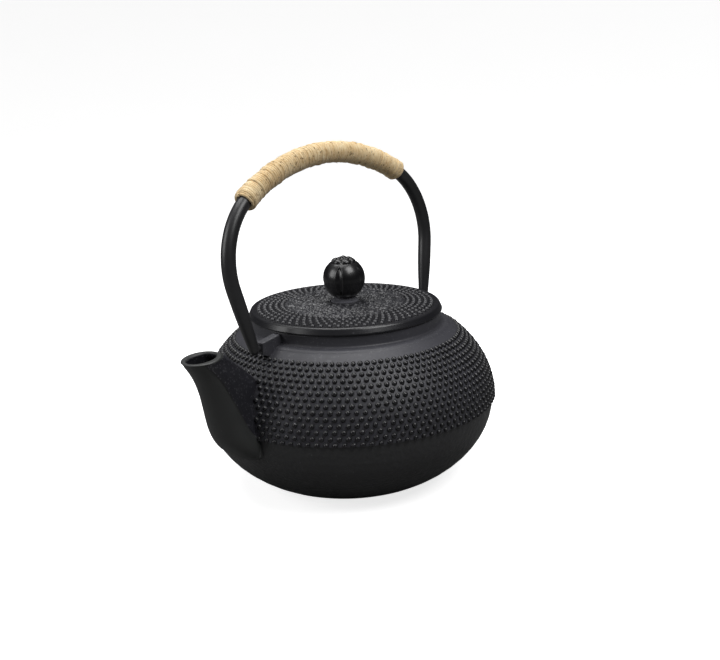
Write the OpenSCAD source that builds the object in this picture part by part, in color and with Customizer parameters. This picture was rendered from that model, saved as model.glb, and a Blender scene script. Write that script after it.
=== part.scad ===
// Cast-iron teapot with a swinging bail handle, a lift-off lid and a drop-in infuser.
// Frame: origin at the centre of the base on the table, +Z up, spout towards -X.
// The bail turns about an axis along X through the two lugs on the shoulder.

/* [Pot] */
// Radius of the belly at its widest, on the mould line
belly_r = 82.5; // [74:0.5:90]
// Height of the mould line, where the smooth bowl meets the dimpled upper half
belly_z = 46; // [40:0.5:52]
// Radius of the flat base
base_r = 39.6; // [34:0.2:46]
// Height at which the shoulder meets the neck
shoulder_z = 89.2; // [84:0.5:96]
// Width of the flat between the shoulder's curve and the neck
shoulder_flat = 4; // [2:0.5:8]
// How far the upper half stands out over the bowl at the mould line
mould_step = 0.5; // [0.2:0.1:1]
// Squareness of the bowl under the mould line, low down
bowl_power_low = 2.05; // [1.6:0.05:2.2]
// Squareness of the bowl under the mould line, near the line
bowl_power_high = 0.71; // [0.6:0.01:0.8]
// Thickness of the cast wall
wall_t = 3.6; // [2.5:0.1:4.5]
// Outer radius of the neck
neck_r = 53.2; // [52.6:0.2:56]
// Height of the neck above the shoulder
neck_h = 6.5; // [5:0.5:9]

/* [Spout] */
// How far the centre of the lip stands out beyond the belly
lip_reach = 23.3; // [20:0.1:28]
// Height of the centre of the lip above the shoulder
lip_rise = 5.3; // [2:0.1:9]
// Outer radius of the round lip
lip_r = 10.2; // [9:0.1:12]
// Downward tilt of the lip, outwards
lip_tilt = 5; // [0:1:10]
// Thickness of the spout's wall
spout_wall_t = 2.6; // [2:0.1:3.2]
// Radius of the hole through the belly into the spout
port_r = 6.5; // [4:0.5:7]
// How far the centre of that hole lies under the lip
port_drop = 36.5; // [33:0.5:39]

/* [Lugs and bail] */
// Width of a lug, across the bail's plane
lug_w = 5; // [4.5:0.5:9]
// How far a lug stands out from the neck
lug_reach = 13.6; // [12:0.2:15]
// How far a lug's foot on the shoulder stands out from the neck
lug_foot = 9; // [7:0.2:10]
// Height of a lug's top above the shoulder, at the neck
lug_rise = 5.6; // [5:0.1:6.2]
// Fall of a lug's top from the neck to its outer end
lug_fall = 2; // [0:0.1:2.4]
// How far the pivot axis lies under a lug's top
pivot_drop = 5; // [4.6:0.1:5.4]
// Height of a lug's outer end below the pivot axis
lug_under = 3; // [2.4:0.1:3.2]
// Radius of the bail's pivot pins
pin_r = 1.6; // [1.4:0.1:1.9]
// Radial clearance of a pin in its lug
pin_clearance = 0.06; // [0.03:0.01:0.1]
// Length of a pin inside its lug
pin_depth = 6; // [4:0.5:7]
// Gap between a lug's face and the bail's tip
tip_gap = 1.1; // [0.6:0.1:3]
// Radius of the bail rod
rod_r = 3.9; // [3:0.1:4.5]
// Radius of the bail at its tips
tip_r = 2.7; // [2.2:0.1:3]
// Length over which the rod tapers down to a tip
taper_l = 28; // [15:1:32]
// How far each side of the bail bulges out beyond its tip
bail_bulge = 8.5; // [7.5:0.1:12]
// Radius of the bend at each corner of the bail
corner_r = 43; // [36:0.5:50]
// Angle by which a leg leans in towards its lug
leg_angle = 13; // [11:0.5:16]
// Half the angle of the arc along the top of the bail
crown_angle = 30.6; // [28:0.2:34]
// Lean of the bail from upright, as it stands at rest
bail_lean = 7; // [0:0.5:12]
// Radius of the wound grip
wrap_r = 6.1; // [5:0.1:8]
// Half the length of the wound grip, along the rod
wrap_half_l = 64.6; // [40:0.2:68]
// How far the grip's middle sits from the bail's middle, towards the spout
wrap_shift = 1.4; // [0:0.2:3]
// Clearance between the winding and the rod
wrap_clearance = 0.1; // [0.05:0.05:0.2]

/* [Lid and knob] */
// How far the lid's lower edge overhangs the neck
lid_overhang = 1.1; // [0.5:0.1:2]
// Height of the lid's rim
lid_rim_h = 3.4; // [3:0.1:5]
// How far the rim draws in from its lower edge to its upper one
lid_rim_draft = 1.3; // [0.5:0.1:2]
// Rise of the lid's top from its rim to its centre
lid_crown = 2; // [1:0.1:3]
// Thickness of the lid's plate
lid_t = 3.4; // [2.6:0.1:3.6]
// Gap between the lid's skirt and the infuser's collar
skirt_gap = 1.2; // [0.4:0.1:2]
// Thickness of the skirt under the lid
skirt_t = 2.4; // [1.8:0.1:3]
// Depth of the skirt under the lid
skirt_h = 7.5; // [5:0.5:10]
// Radius of the vent hole
vent_r = 1.4; // [1:0.1:2]
// Distance from the lid's axis to the vent hole
vent_x = 37; // [20:1:38]
// Direction of the vent hole, from +X towards +Y
vent_angle = 42; // [0:1:360]
// Gap between the lid and the neck's rim
lid_gap = 0.3; // [0.1:0.05:0.5]
// Radius of the knob's ball
ball_r = 11.8; // [10:0.1:13]
// Radius of the flared collar under the knob
collar_r = 7.9; // [6.5:0.1:9]
// Height of that collar
collar_h = 2.4; // [2:0.1:4]
// Radius of the flat under the ball, where it sits on the collar
ball_flat_r = 4.6; // [4:0.1:6]

/* [Knob screw] */
// Radius of the screw's shank
screw_r = 2.5; // [2:0.1:3]
// Length of the screw inside the knob
screw_grip = 9; // [6:0.5:11]
// Radius of the screw's head
head_r = 4.4; // [3.8:0.1:5]
// Height of the screw's head
head_h = 2.8; // [2.2:0.1:3.4]
// Clearance round the screw in the lid, the collar and the washers
screw_clearance = 0.25; // [0.1:0.05:0.4]
// Clearance round the screw in the knob's thread
thread_clearance = 0.05; // [0.02:0.01:0.1]
// Thickness of the flat washer
flat_washer_t = 1; // [0.6:0.1:1.4]
// Radius of the flat washer
flat_washer_r = 6; // [5:0.1:7]
// Thickness of the spring washer
spring_washer_t = 1.2; // [0.8:0.1:1.6]
// Radius of the spring washer
spring_washer_r = 4.4; // [4:0.1:5]
// Gap cut in the spring washer
spring_washer_gap = 1; // [0.6:0.1:1.5]

/* [Infuser] */
// Thickness of the infuser's steel sheet
sheet_t = 0.6; // [0.4:0.1:0.8]
// Thickness of the neck outside the infuser's flange
neck_wall = 3.7; // [2.5:0.1:4.5]
// Depth of the infuser below its flange
tube_h = 48; // [30:1:52]
// Width of the flange
flange_w = 4; // [3:0.25:6]
// Radius of the rolled edge of the flange
roll_r = 0.7; // [0.5:0.05:0.8]
// Height of the collar that grips the top of the tube
band_h = 7; // [5:0.5:10]
// Clearance round the infuser in the neck
infuser_clearance = 0.5; // [0.3:0.05:0.8]

/* [Hidden] */

$fn = 96;
// Overrun of a cutting shape past the face that it opens
over = 1;
iron = [0.10, 0.10, 0.11];
satin_iron = [0.15, 0.15, 0.16];
steel = [0.72, 0.72, 0.74];
jute = [0.78, 0.66, 0.43];

// Pot outline -------------------------------------------------------------

neck_top_z = shoulder_z + neck_h;
bowl_steps = 14;
upper_steps = 14;
// Drop of the ellipse's end below the crease at the root of the neck
crease_drop = 0.6;

// Vertical radius of the upper half's ellipse, which ends at the flat round the neck
shoulder_rise = (shoulder_z - crease_drop - belly_z) / sqrt(1 - pow((neck_r + shoulder_flat) / belly_r, 2));

// Outer radius of the upper half at a height: an ellipse, widest at the mould line
function upper_r(z) = belly_r * sqrt(1 - pow((z - belly_z) / shoulder_rise, 2));
// Height of the upper half's outer surface at a radius
function upper_z(r) = belly_z + shoulder_rise * sqrt(1 - pow(r / belly_r, 2));
// Outer radius of the bowl at a height between the base and the mould line
function bowl_r(z) = base_r + (belly_r - mould_step - base_r)
    * pow(1 - pow(1 - z / belly_z, bowl_power_low), bowl_power_high);

bowl_outline = [for (i = [0:bowl_steps])
    let (z = belly_z * (1 - cos(90 * i / bowl_steps))) [bowl_r(z), z]];
upper_outline = [for (i = [0:upper_steps])
    let (z = belly_z + (shoulder_z - crease_drop - belly_z) * sin(90 * i / upper_steps)) [upper_r(z), z]];

// An outline moved inwards by a wall's thickness, square to itself at each point
function inset(pts, t) = [for (i = [0:len(pts) - 1])
    let (a = pts[max(i - 1, 0)], b = pts[min(i + 1, len(pts) - 1)], d = (b - a) / norm(b - a))
    pts[i] + t * [-d[1], d[0]]];

bowl_inset = inset(bowl_outline, wall_t);
upper_inset = inset(upper_outline, wall_t);
// The two insets meet in one corner behind the mould line
cavity_outline = concat(
    [for (i = [0:bowl_steps - 1]) bowl_inset[i]],
    [[belly_r - mould_step / 2 - wall_t, belly_z]],
    [for (i = [1:upper_steps]) upper_inset[i]]);
cavity_top_z = cavity_outline[len(cavity_outline) - 1][1];

// Mouth: the bore of the neck and the ledge in it that the infuser's flange hangs on
mouth_r = neck_r - neck_wall;
tube_r = mouth_r - infuser_clearance - flange_w;
ledge_r = tube_r + infuser_clearance;
ledge_z = neck_top_z - 2 * roll_r;

// Lug on the +X side, and the axis that the bail turns on
lug_x = neck_r + lug_reach;
lug_top_z = shoulder_z + lug_rise;
pivot_z = lug_top_z - pivot_drop;

// Lip of the spout
lip_x = belly_r + lip_reach;
lip_z = shoulder_z + lip_rise;

// The spout's cuts are drawn for a lip this high above the belly, and follow the real height
drawn_rise = 48.5;
spout_stretch = (lip_z - belly_z) / drawn_rise;

module pot_outer() {
    rotate_extrude()
        polygon(concat([[0, 0]], bowl_outline, upper_outline,
            [[neck_r, shoulder_z], [neck_r, neck_top_z], [0, neck_top_z]]));
}

// All that lies within the neck's outer wall, above the mould line
module neck_core() {
    translate([0, 0, belly_z])
        cylinder(r = neck_r, h = neck_top_z - belly_z);
}

module pot_cavity() {
    rotate_extrude()
        polygon(concat([[0, wall_t]], cavity_outline, [[ledge_r, cavity_top_z], [ledge_r, ledge_z],
            [mouth_r, ledge_z], [mouth_r, neck_top_z + over], [0, neck_top_z + over]]));
}

// One lug on the +X side, rooted in the shoulder and the neck
module lug() {
    foot_x = neck_r + lug_foot;
    foot_z = upper_z(foot_x);
    root_x = neck_r - wall_t / 2;
    translate([0, lug_w / 2, 0])
        rotate([90, 0, 0])
            linear_extrude(lug_w)
                polygon([[root_x, foot_z - wall_t / 2], [foot_x, foot_z - wall_t / 2], [foot_x, foot_z],
                    [lug_x, pivot_z - lug_under], [lug_x, lug_top_z - lug_fall], [neck_r, lug_top_z],
                    [root_x, lug_top_z]]);
}

module lug_bore() {
    bore_l = pin_depth + pin_clearance * 5;
    translate([lug_x - bore_l, 0, pivot_z])
        rotate([0, 90, 0])
            cylinder(r = pin_r + pin_clearance, h = bore_l + over);
}

module port() {
    translate([-belly_r - over, 0, lip_z - port_drop * spout_stretch])
        rotate([0, 90, 0])
            cylinder(r = port_r, h = belly_r / 2);
}

// Lower half of the pot casting, from the base up to the mould line
module pot_bowl() {
    color(satin_iron)
        difference() {
            rotate_extrude()
                polygon(concat([[0, 0]], bowl_outline, [[0, belly_z]]));
            pot_cavity();
        }
}

// Upper half of the pot casting outside the neck, with the lugs
module pot_shoulder() {
    color(satin_iron)
        difference() {
            union() {
                rotate_extrude()
                    polygon(concat([[0, belly_z]], upper_outline, [[neck_r, shoulder_z], [0, shoulder_z]]));
                for (side = [0, 1]) mirror([side, 0, 0]) lug();
            }
            pot_cavity();
            translate([0, 0, -over]) neck_core();
            translate([0, 0, over]) neck_core();
            for (side = [0, 1]) mirror([side, 0, 0]) lug_bore();
            port();
        }
}

// Neck of the pot casting, with the ledge that the infuser hangs on
module pot_neck() {
    color(satin_iron)
        difference() {
            neck_core();
            pot_cavity();
        }
}

// Spout -------------------------------------------------------------------

// Level cuts through the spout, from under the belly line to the lip. Each is a rounded nose
// in front and a narrower ridge behind: [drop below the lip, nose front, ridge back, nose
// radius, ridge radius], the two reaches measured outwards from the belly's widest radius.
SPOUT_CUTS = [
    [61.5, -2.5, -20, 12.0, 12.0],
    [59.0, 4.3, -20, 12.4, 11.6],
    [55.5, 9.1, -20, 12.2, 10.4],
    [51.5, 13.3, -20, 12.0, 9.0],
    [47.0, 16.5, -20, 11.6, 7.4],
    [41.5, 19.0, -18, 11.2, 5.8],
    [34.5, 20.9, -16, 10.6, 4.2],
    [28.5, 22.1, -14, 10.2, 3.0],
    [21.5, 23.6, -12, 9.8, 2.8],
    [14.5, 25.8, -4.5, 9.6, 3.4],
    [7.5, 29.1, 4.0, 9.6, 5.4],
    [3.0, 31.9, 9.0, 9.8, 8.0]];
nose_steps = 14;
ridge_steps = 7;
// The lowest cut that the channel inside the spout reaches
channel_first = 4;

// The cut at the lip is a full circle
lip_cut = [0, lip_x + lip_r - belly_r, lip_x - lip_r - belly_r, lip_r, lip_r];
spout_cuts = concat(SPOUT_CUTS, [lip_cut]);
channel_cuts = [for (i = [channel_first:len(spout_cuts) - 1])
    let (c = spout_cuts[i])
    [c[0], c[1] - spout_wall_t, c[2] + spout_wall_t, c[3] - spout_wall_t, max(c[4] - spout_wall_t, 1)]];

// Corner points of a cut: the nose's arc, then the ridge's, leaning with the lip near the top
function cut_ring(c) =
    let (nose_x = -belly_r - c[1] + c[3], ridge_x = -belly_r - c[2] - c[4], gap = ridge_x - nose_x,
        open = gap > 0.1 ? acos(min(max((c[3] - c[4]) / gap, -0.95), 0.95)) : 90,
        tilt = lip_tilt * max(0, 1 - c[0] / 20))
    [for (i = [0:nose_steps + ridge_steps + 1])
        let (on_nose = i <= nose_steps,
            a = on_nose ? open + (360 - 2 * open) * i / nose_steps
                : -open + 2 * open * (i - nose_steps - 1) / ridge_steps,
            x = on_nose ? nose_x + c[3] * cos(a) : ridge_x + c[4] * cos(a),
            y = on_nose ? c[3] * sin(a) : c[4] * sin(a))
        [x, y, lip_z - c[0] * spout_stretch + (x + lip_x) * tan(tilt)]];

// A closed solid through a stack of rings, each with the same number of points
module loft(rings) {
    n = len(rings[0]);
    top = len(rings) - 1;
    polyhedron(
        points = [for (ring = rings) for (p = ring) p],
        faces = concat(
            [[for (j = [0:n - 1]) j]],
            [for (i = [0:top - 1]) for (j = [0:n - 1])
                [i * n + j, (i + 1) * n + j, (i + 1) * n + (j + 1) % n, i * n + (j + 1) % n]],
            [[for (j = [n - 1:-1:0]) top * n + j]]));
}

module spout() {
    top_ring = cut_ring(channel_cuts[len(channel_cuts) - 1]);
    color(satin_iron)
        difference() {
            loft([for (c = spout_cuts) cut_ring(c)]);
            pot_outer();
            loft(concat([for (c = channel_cuts) cut_ring(c)], [[for (p = top_ring) p + [0, 0, over]]]));
        }
}

// Bail --------------------------------------------------------------------

tip_x = lug_x + tip_gap + tip_r;
bail_half_w = tip_x + bail_bulge;
tube_sides = 16;
cap_steps = 4;
leg_steps = 8;
corner_steps = 12;
crown_steps = 12;

// Heights here are measured from the pivot axis, with the bail upright
leg_top_x = bail_half_w - corner_r + corner_r * cos(leg_angle);
leg_top_z = (leg_top_x - tip_x) / tan(leg_angle);
leg_l = leg_top_z / cos(leg_angle);
corner_z = leg_top_z + corner_r * sin(leg_angle);
crown_r = (bail_half_w - corner_r) / sin(crown_angle) + corner_r;
crown_z = corner_z - (crown_r - corner_r) * cos(crown_angle);
corner_sweep = 90 - crown_angle + leg_angle;

// Radius of the rod at a distance up its leg
function leg_r(d) = d < taper_l ? tip_r + (rod_r - tip_r) * sin(90 * d / taper_l) : rod_r;

// Half of the rod's centre line as [x, z, radius, heading], from the +X tip to the middle;
// the heading is the angle of travel, measured from +X
cap_half = [for (i = [1:cap_steps])
    let (a = 90 * i / cap_steps, back = -tip_r * cos(a))
    [tip_x + back * sin(leg_angle), back * cos(leg_angle), max(tip_r * sin(a), 0.3), 90 - leg_angle]];
leg_half = [for (i = [1:leg_steps])
    let (d = leg_l * i / leg_steps)
    [tip_x + d * sin(leg_angle), d * cos(leg_angle), leg_r(d), 90 - leg_angle]];
corner_half = [for (i = [1:corner_steps])
    let (a = -leg_angle + corner_sweep * i / corner_steps)
    [bail_half_w - corner_r + corner_r * cos(a), corner_z + corner_r * sin(a), rod_r, 90 + a]];
crown_half = [for (i = [1:crown_steps])
    let (a = 90 - crown_angle + crown_angle * i / crown_steps)
    [crown_r * cos(a), crown_z + crown_r * sin(a), rod_r, 90 + a]];
half_path = concat(cap_half, leg_half, corner_half, crown_half);

// The other half mirrors it, from the middle to the -X tip
function mirrored(path) = [for (i = [len(path) - 2:-1:0])
    [-path[i][0], path[i][1], path[i][2], 360 - path[i][3]]];

// Ring of points round a path station, at a radius
function tube_ring(s, r) = [for (j = [0:tube_sides - 1])
    let (a = 360 * j / tube_sides)
    [s[0] - r * cos(a) * sin(s[3]), -r * sin(a), s[1] + r * cos(a) * cos(s[3])]];

module as_it_stands() {
    translate([0, 0, pivot_z])
        rotate([-bail_lean, 0, 0])
            children();
}

module pivot_pin() {
    pin_l = tip_x - lug_x + pin_depth;
    translate([tip_x - pin_l, 0, 0])
        rotate([0, 90, 0])
            cylinder(r = pin_r, h = pin_l);
}

module bail_rod() {
    path = concat(half_path, mirrored(half_path));
    color(iron)
        as_it_stands() {
            loft([for (s = path) tube_ring(s, s[2])]);
            for (side = [0, 1]) mirror([side, 0, 0]) pivot_pin();
        }
}

// The grip covers the crown and the first part of each corner
grip_steps = 18;
grip_end = 2.5;
crown_l = crown_r * crown_angle * PI / 180;
// Centre line at a distance from the bail's middle, towards +X, as [x, z, heading]
function crown_at(d) =
    let (side = d < 0 ? -1 : 1, e = abs(d), over_crown = e > crown_l,
        a = over_crown ? 90 - crown_angle - (e - crown_l) / corner_r * 180 / PI
            : 90 - e / crown_r * 180 / PI)
    over_crown
        ? [side * (bail_half_w - corner_r + corner_r * cos(a)), corner_z + corner_r * sin(a),
            180 - side * (90 - a)]
        : [side * crown_r * cos(a), crown_z + crown_r * sin(a), 180 - side * (90 - a)];
// Distances of the winding's stations from its middle, with a close one to round each end
grip_half_d = concat([wrap_half_l, wrap_half_l - grip_end / 3],
    [for (i = [0:grip_steps]) (wrap_half_l - grip_end) * (1 - i / grip_steps)]);
grip_d = concat(grip_half_d, [for (i = [len(grip_half_d) - 2:-1:0]) -grip_half_d[i]]);
function wrap_radius(d) = let (e = min(1, (wrap_half_l - abs(d)) / grip_end))
    rod_r + wrap_clearance + (wrap_r - rod_r - wrap_clearance) * (0.55 + 0.45 * sqrt(1 - pow(1 - e, 2)));

module grip_wrap() {
    path = [for (d = grip_d) let (s = crown_at(d - wrap_shift)) [s[0], s[1], wrap_radius(d), s[2]]];
    n = tube_sides;
    m = len(path);
    outer = [for (s = path) tube_ring(s, s[2])];
    inner = [for (s = path) tube_ring(s, rod_r + wrap_clearance)];
    color(jute)
        as_it_stands()
            polyhedron(
                points = concat([for (ring = outer) for (p = ring) p],
                    [for (ring = inner) for (p = ring) p]),
                faces = concat(
                    [for (i = [0:m - 2]) for (j = [0:n - 1])
                        [i * n + j, (i + 1) * n + j, (i + 1) * n + (j + 1) % n, i * n + (j + 1) % n]],
                    [for (i = [0:m - 2]) for (j = [0:n - 1])
                        [(m + i) * n + (j + 1) % n, (m + i + 1) * n + (j + 1) % n,
                         (m + i + 1) * n + j, (m + i) * n + j]],
                    [for (j = [0:n - 1]) [j, (j + 1) % n, m * n + (j + 1) % n, m * n + j]],
                    [for (j = [0:n - 1])
                        [(2 * m - 1) * n + j, (2 * m - 1) * n + (j + 1) % n,
                         (m - 1) * n + (j + 1) % n, (m - 1) * n + j]]));
}

// Lid, knob and their screw -------------------------------------------------

lid_z = neck_top_z + lid_gap;
lid_rim_z = lid_z + lid_rim_h;
lid_top_z = lid_rim_z + lid_crown;
lid_r = neck_r + lid_overhang;
lid_top_r = lid_r - lid_rim_draft;
// Radius of the flat at the lid's centre, on both faces
lid_flat_r = collar_r + 1;
lid_steps = 8;
rim_edge = 0.5;
skirt_r = tube_r - 2 * sheet_t - skirt_gap;
// Height of the lid's top surface at a radius: flat in the middle, then falling to the rim
function lid_surface(r) = r < lid_flat_r ? lid_top_z
    : lid_rim_z + lid_crown * (1 - pow((r - lid_flat_r) / (lid_top_r - lid_flat_r), 2));
lid_under_r = skirt_r - skirt_t;
lid_under_z = lid_top_z - lid_t;
ball_z = lid_top_z + collar_h + sqrt(pow(ball_r, 2) - pow(ball_flat_r, 2));
flat_washer_z = lid_under_z - flat_washer_t;
spring_washer_z = flat_washer_z - spring_washer_t;

module screw_hole(z, h, clearance) {
    translate([0, 0, z])
        cylinder(r = screw_r + clearance, h = h);
}

module lid_plate() {
    top = [for (i = [0:lid_steps])
        let (r = lid_flat_r + (lid_top_r - lid_flat_r) * i / lid_steps) [r, lid_surface(r)]];
    under = [for (i = [lid_steps:-1:0])
        let (r = lid_flat_r + (lid_under_r - lid_flat_r) * i / lid_steps) [r, lid_surface(r) - lid_t]];
    color(iron)
        difference() {
            rotate_extrude()
                polygon(concat([[0, lid_top_z]], top,
                    [[lid_r, lid_z + rim_edge], [lid_r - rim_edge, lid_z], [lid_under_r, lid_z]],
                    under, [[0, lid_under_z]]));
            screw_hole(lid_under_z - over, lid_t + 2 * over, screw_clearance);
            rotate([0, 0, vent_angle])
                translate([vent_x, 0, lid_z - over])
                    cylinder(r = vent_r, h = lid_rim_h + lid_crown + 2 * over, $fn = 24);
        }
}

// Skirt cast under the plate, which keeps the lid centred in the infuser's collar
module lid_skirt() {
    color(iron) ring(skirt_r, lid_under_r, lid_z - skirt_h, skirt_h);
}

module knob_collar() {
    waist_r = ball_flat_r + 1.4;
    color(iron)
        translate([0, 0, lid_top_z])
            difference() {
                rotate_extrude()
                    polygon([[0, 0], [collar_r, 0], [collar_r, collar_h * 0.3],
                             [waist_r, collar_h * 0.75], [waist_r, collar_h], [0, collar_h]]);
                screw_hole(-over, collar_h + 2 * over, screw_clearance);
            }
}

module knob_ball() {
    color(iron)
        difference() {
            translate([0, 0, ball_z])
                sphere(r = ball_r);
            translate([0, 0, lid_top_z + collar_h - ball_r])
                cylinder(r = ball_r, h = ball_r);
            screw_hole(lid_top_z + collar_h - over, screw_grip + 2 * over, thread_clearance);
        }
}

module knob_screw() {
    shank_l = spring_washer_t + flat_washer_t + lid_t + collar_h + screw_grip;
    slot_w = 1;
    color(steel)
        translate([0, 0, spring_washer_z])
            difference() {
                union() {
                    cylinder(r = screw_r, h = shank_l);
                    translate([0, 0, -head_h])
                        cylinder(r = head_r, h = head_h);
                }
                for (turn = [0, 90])
                    rotate([0, 0, turn])
                        translate([-head_r * 0.6, -slot_w / 2, -head_h - over])
                            cube([head_r * 1.2, slot_w, head_h / 2 + over]);
            }
}

module washer(z, t, r) {
    translate([0, 0, z])
        difference() {
            cylinder(r = r, h = t);
            screw_hole(-over, t + 2 * over, screw_clearance);
        }
}

module flat_washer() {
    color(steel) washer(flat_washer_z, flat_washer_t, flat_washer_r);
}

module spring_washer() {
    color(steel)
        difference() {
            washer(spring_washer_z, spring_washer_t, spring_washer_r);
            translate([0, -spring_washer_gap / 2, spring_washer_z - over])
                cube([spring_washer_r + over, spring_washer_gap, spring_washer_t + 2 * over]);
        }
}

// Infuser -------------------------------------------------------------------

flange_z = ledge_z + roll_r;
tube_top_z = flange_z - sheet_t / 2;

module ring(r_out, r_in, z, h) {
    translate([0, 0, z])
        difference() {
            cylinder(r = r_out, h = h);
            translate([0, 0, -over])
                cylinder(r = r_in, h = h + 2 * over);
        }
}

module infuser_rim() {
    roll_x = tube_r + flange_w - roll_r;
    band_r = tube_r - sheet_t;
    color(steel) {
        ring(roll_x, band_r - sheet_t, tube_top_z, sheet_t);
        ring(band_r, band_r - sheet_t, tube_top_z - band_h, band_h);
        rotate_extrude()
            translate([roll_x, flange_z])
                circle(r = roll_r, $fn = 24);
    }
}

module infuser_tube() {
    color(steel) ring(tube_r, tube_r - sheet_t, tube_top_z - tube_h, tube_h);
}

// Disc welded under the tube
module infuser_base() {
    color(steel)
        translate([0, 0, tube_top_z - tube_h - sheet_t])
            cylinder(r = tube_r, h = sheet_t);
}

pot_bowl();
pot_shoulder();
pot_neck();
spout();
bail_rod();
grip_wrap();
lid_plate();
lid_skirt();
knob_collar();
knob_ball();
knob_screw();
spring_washer();
flat_washer();
infuser_rim();
infuser_tube();
infuser_base();
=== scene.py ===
import logging
import math
from dataclasses import dataclass
from enum import Enum
from typing import Iterable, Optional, Sequence

import bmesh
import bpy
import numpy as np
from mathutils import Matrix, Vector, noise


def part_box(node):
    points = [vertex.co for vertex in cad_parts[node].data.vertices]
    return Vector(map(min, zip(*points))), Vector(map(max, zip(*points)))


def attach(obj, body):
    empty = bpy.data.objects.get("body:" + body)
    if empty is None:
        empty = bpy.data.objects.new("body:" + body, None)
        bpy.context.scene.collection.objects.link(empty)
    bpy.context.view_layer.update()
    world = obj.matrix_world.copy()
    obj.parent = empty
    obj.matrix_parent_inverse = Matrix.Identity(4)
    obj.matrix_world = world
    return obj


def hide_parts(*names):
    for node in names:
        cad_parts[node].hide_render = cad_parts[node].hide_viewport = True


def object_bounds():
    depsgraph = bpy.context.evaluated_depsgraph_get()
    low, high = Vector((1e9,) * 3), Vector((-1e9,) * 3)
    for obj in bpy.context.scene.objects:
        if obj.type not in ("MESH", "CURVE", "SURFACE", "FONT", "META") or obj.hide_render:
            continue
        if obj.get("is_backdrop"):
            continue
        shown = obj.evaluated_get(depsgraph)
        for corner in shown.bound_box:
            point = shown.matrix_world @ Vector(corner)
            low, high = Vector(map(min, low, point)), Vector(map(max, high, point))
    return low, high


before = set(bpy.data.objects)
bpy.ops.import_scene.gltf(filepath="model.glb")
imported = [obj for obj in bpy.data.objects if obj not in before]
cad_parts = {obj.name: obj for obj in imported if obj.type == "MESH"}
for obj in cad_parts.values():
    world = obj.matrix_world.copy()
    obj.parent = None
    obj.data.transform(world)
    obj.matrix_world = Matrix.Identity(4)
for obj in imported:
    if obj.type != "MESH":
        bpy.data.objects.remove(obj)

# A cast-iron teapot with a jute-wound bail, a studded shoulder and lid, and a steel infuser.
# Sizes are in metres, in the frame's own axes: the spout points towards -X, up is +Z.

CAD_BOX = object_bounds()
MM = 0.001
TURN = 2 * math.pi
LOG = logging.getLogger("teapot")

Colour = tuple[float, float, float]


class Body(Enum):
    """The moving bodies that a piece can ride on."""

    POT = "pot"
    BAIL = "bail"
    INFUSER = "infuser"
    LID = "lid"


class Slot(Enum):
    """Names of the material slots."""

    POT_IRON = "pot_iron"
    LID_IRON = "lid_iron"
    BAIL_IRON = "bail_iron"
    LACQUER = "knob_lacquer"
    JUTE = "jute"
    FASTENER = "fastener_steel"
    INFUSER = "infuser_steel"


# ---------------------------------------------------------------- mesh tools


def grid_faces(rows: int, columns: int, closed: bool = True) -> np.ndarray:
    """Lists the quads of a grid of points whose rows lie one above the next.

    Args:
        rows: Number of rows.
        columns: Number of points in each row.
        closed: Whether the last column joins the first.

    Returns:
        An array of four point numbers for each quad.
    """
    span = columns if closed else columns - 1
    i, j = np.meshgrid(np.arange(rows - 1), np.arange(span), indexing="ij")
    k = (j + 1) % columns
    quads = np.stack([i * columns + j, i * columns + k, (i + 1) * columns + k, (i + 1) * columns + j], -1)
    return quads.reshape(-1, 4)


def make_piece(
    name: str,
    points: np.ndarray,
    faces: Sequence[Sequence[int]],
    finish: bpy.types.Material,
    body: Body,
    slot: Slot,
    uv: Optional[np.ndarray] = None,
    marks: Optional[dict[str, np.ndarray]] = None,
) -> bpy.types.Object:
    """Makes a smooth-shaded mesh piece and lets it ride on its body.

    Args:
        name: The piece's name.
        points: One row of x, y, z for each point.
        faces: Point numbers of each face.
        finish: The material that covers the piece.
        body: The body that it moves with.
        slot: The material slot meant for its finish; not used.
        uv: One row of u, v for each point, if the finish follows the piece's length.
        marks: Named values, one for each point, that the finish reads.

    Returns:
        The new object.
    """
    mesh = bpy.data.meshes.new(name)
    mesh.from_pydata(np.asarray(points).tolist(), [], [list(map(int, f)) for f in faces])
    mesh.polygons.foreach_set("use_smooth", np.ones(len(mesh.polygons), bool))
    corner_point = np.zeros(len(mesh.loops), int)
    mesh.loops.foreach_get("vertex_index", corner_point)
    if uv is not None:
        layer = mesh.uv_layers.new(name="strand")
        layer.data.foreach_set("uv", np.asarray(uv, np.float32)[corner_point].ravel())
    for mark, values in (marks or {}).items():
        layer = mesh.attributes.new(mark, "FLOAT", "POINT")
        layer.data.foreach_set("value", np.asarray(values, np.float32))
    mesh.materials.append(finish)
    mesh.validate()
    mesh.update()
    piece = bpy.data.objects.new(name, mesh)
    bpy.context.scene.collection.objects.link(piece)
    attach(piece, body.value)
    LOG.info("%s: %d faces on %s", name, len(mesh.polygons), body.value)
    return piece


def revolve(profile: Sequence[tuple[float, float]], sides: int) -> tuple[np.ndarray, np.ndarray]:
    """Turns an outline of radius and height pairs about the upright axis.

    Args:
        profile: Radius and height of each outline point.
        sides: Number of sides of the turned shape.

    Returns:
        The points and the quads.
    """
    a = TURN * np.arange(sides) / sides
    rings = [np.stack([r * np.cos(a), r * np.sin(a), np.full(sides, z)], 1) for r, z in profile]
    return np.concatenate(rings), grid_faces(len(profile), sides)


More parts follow.
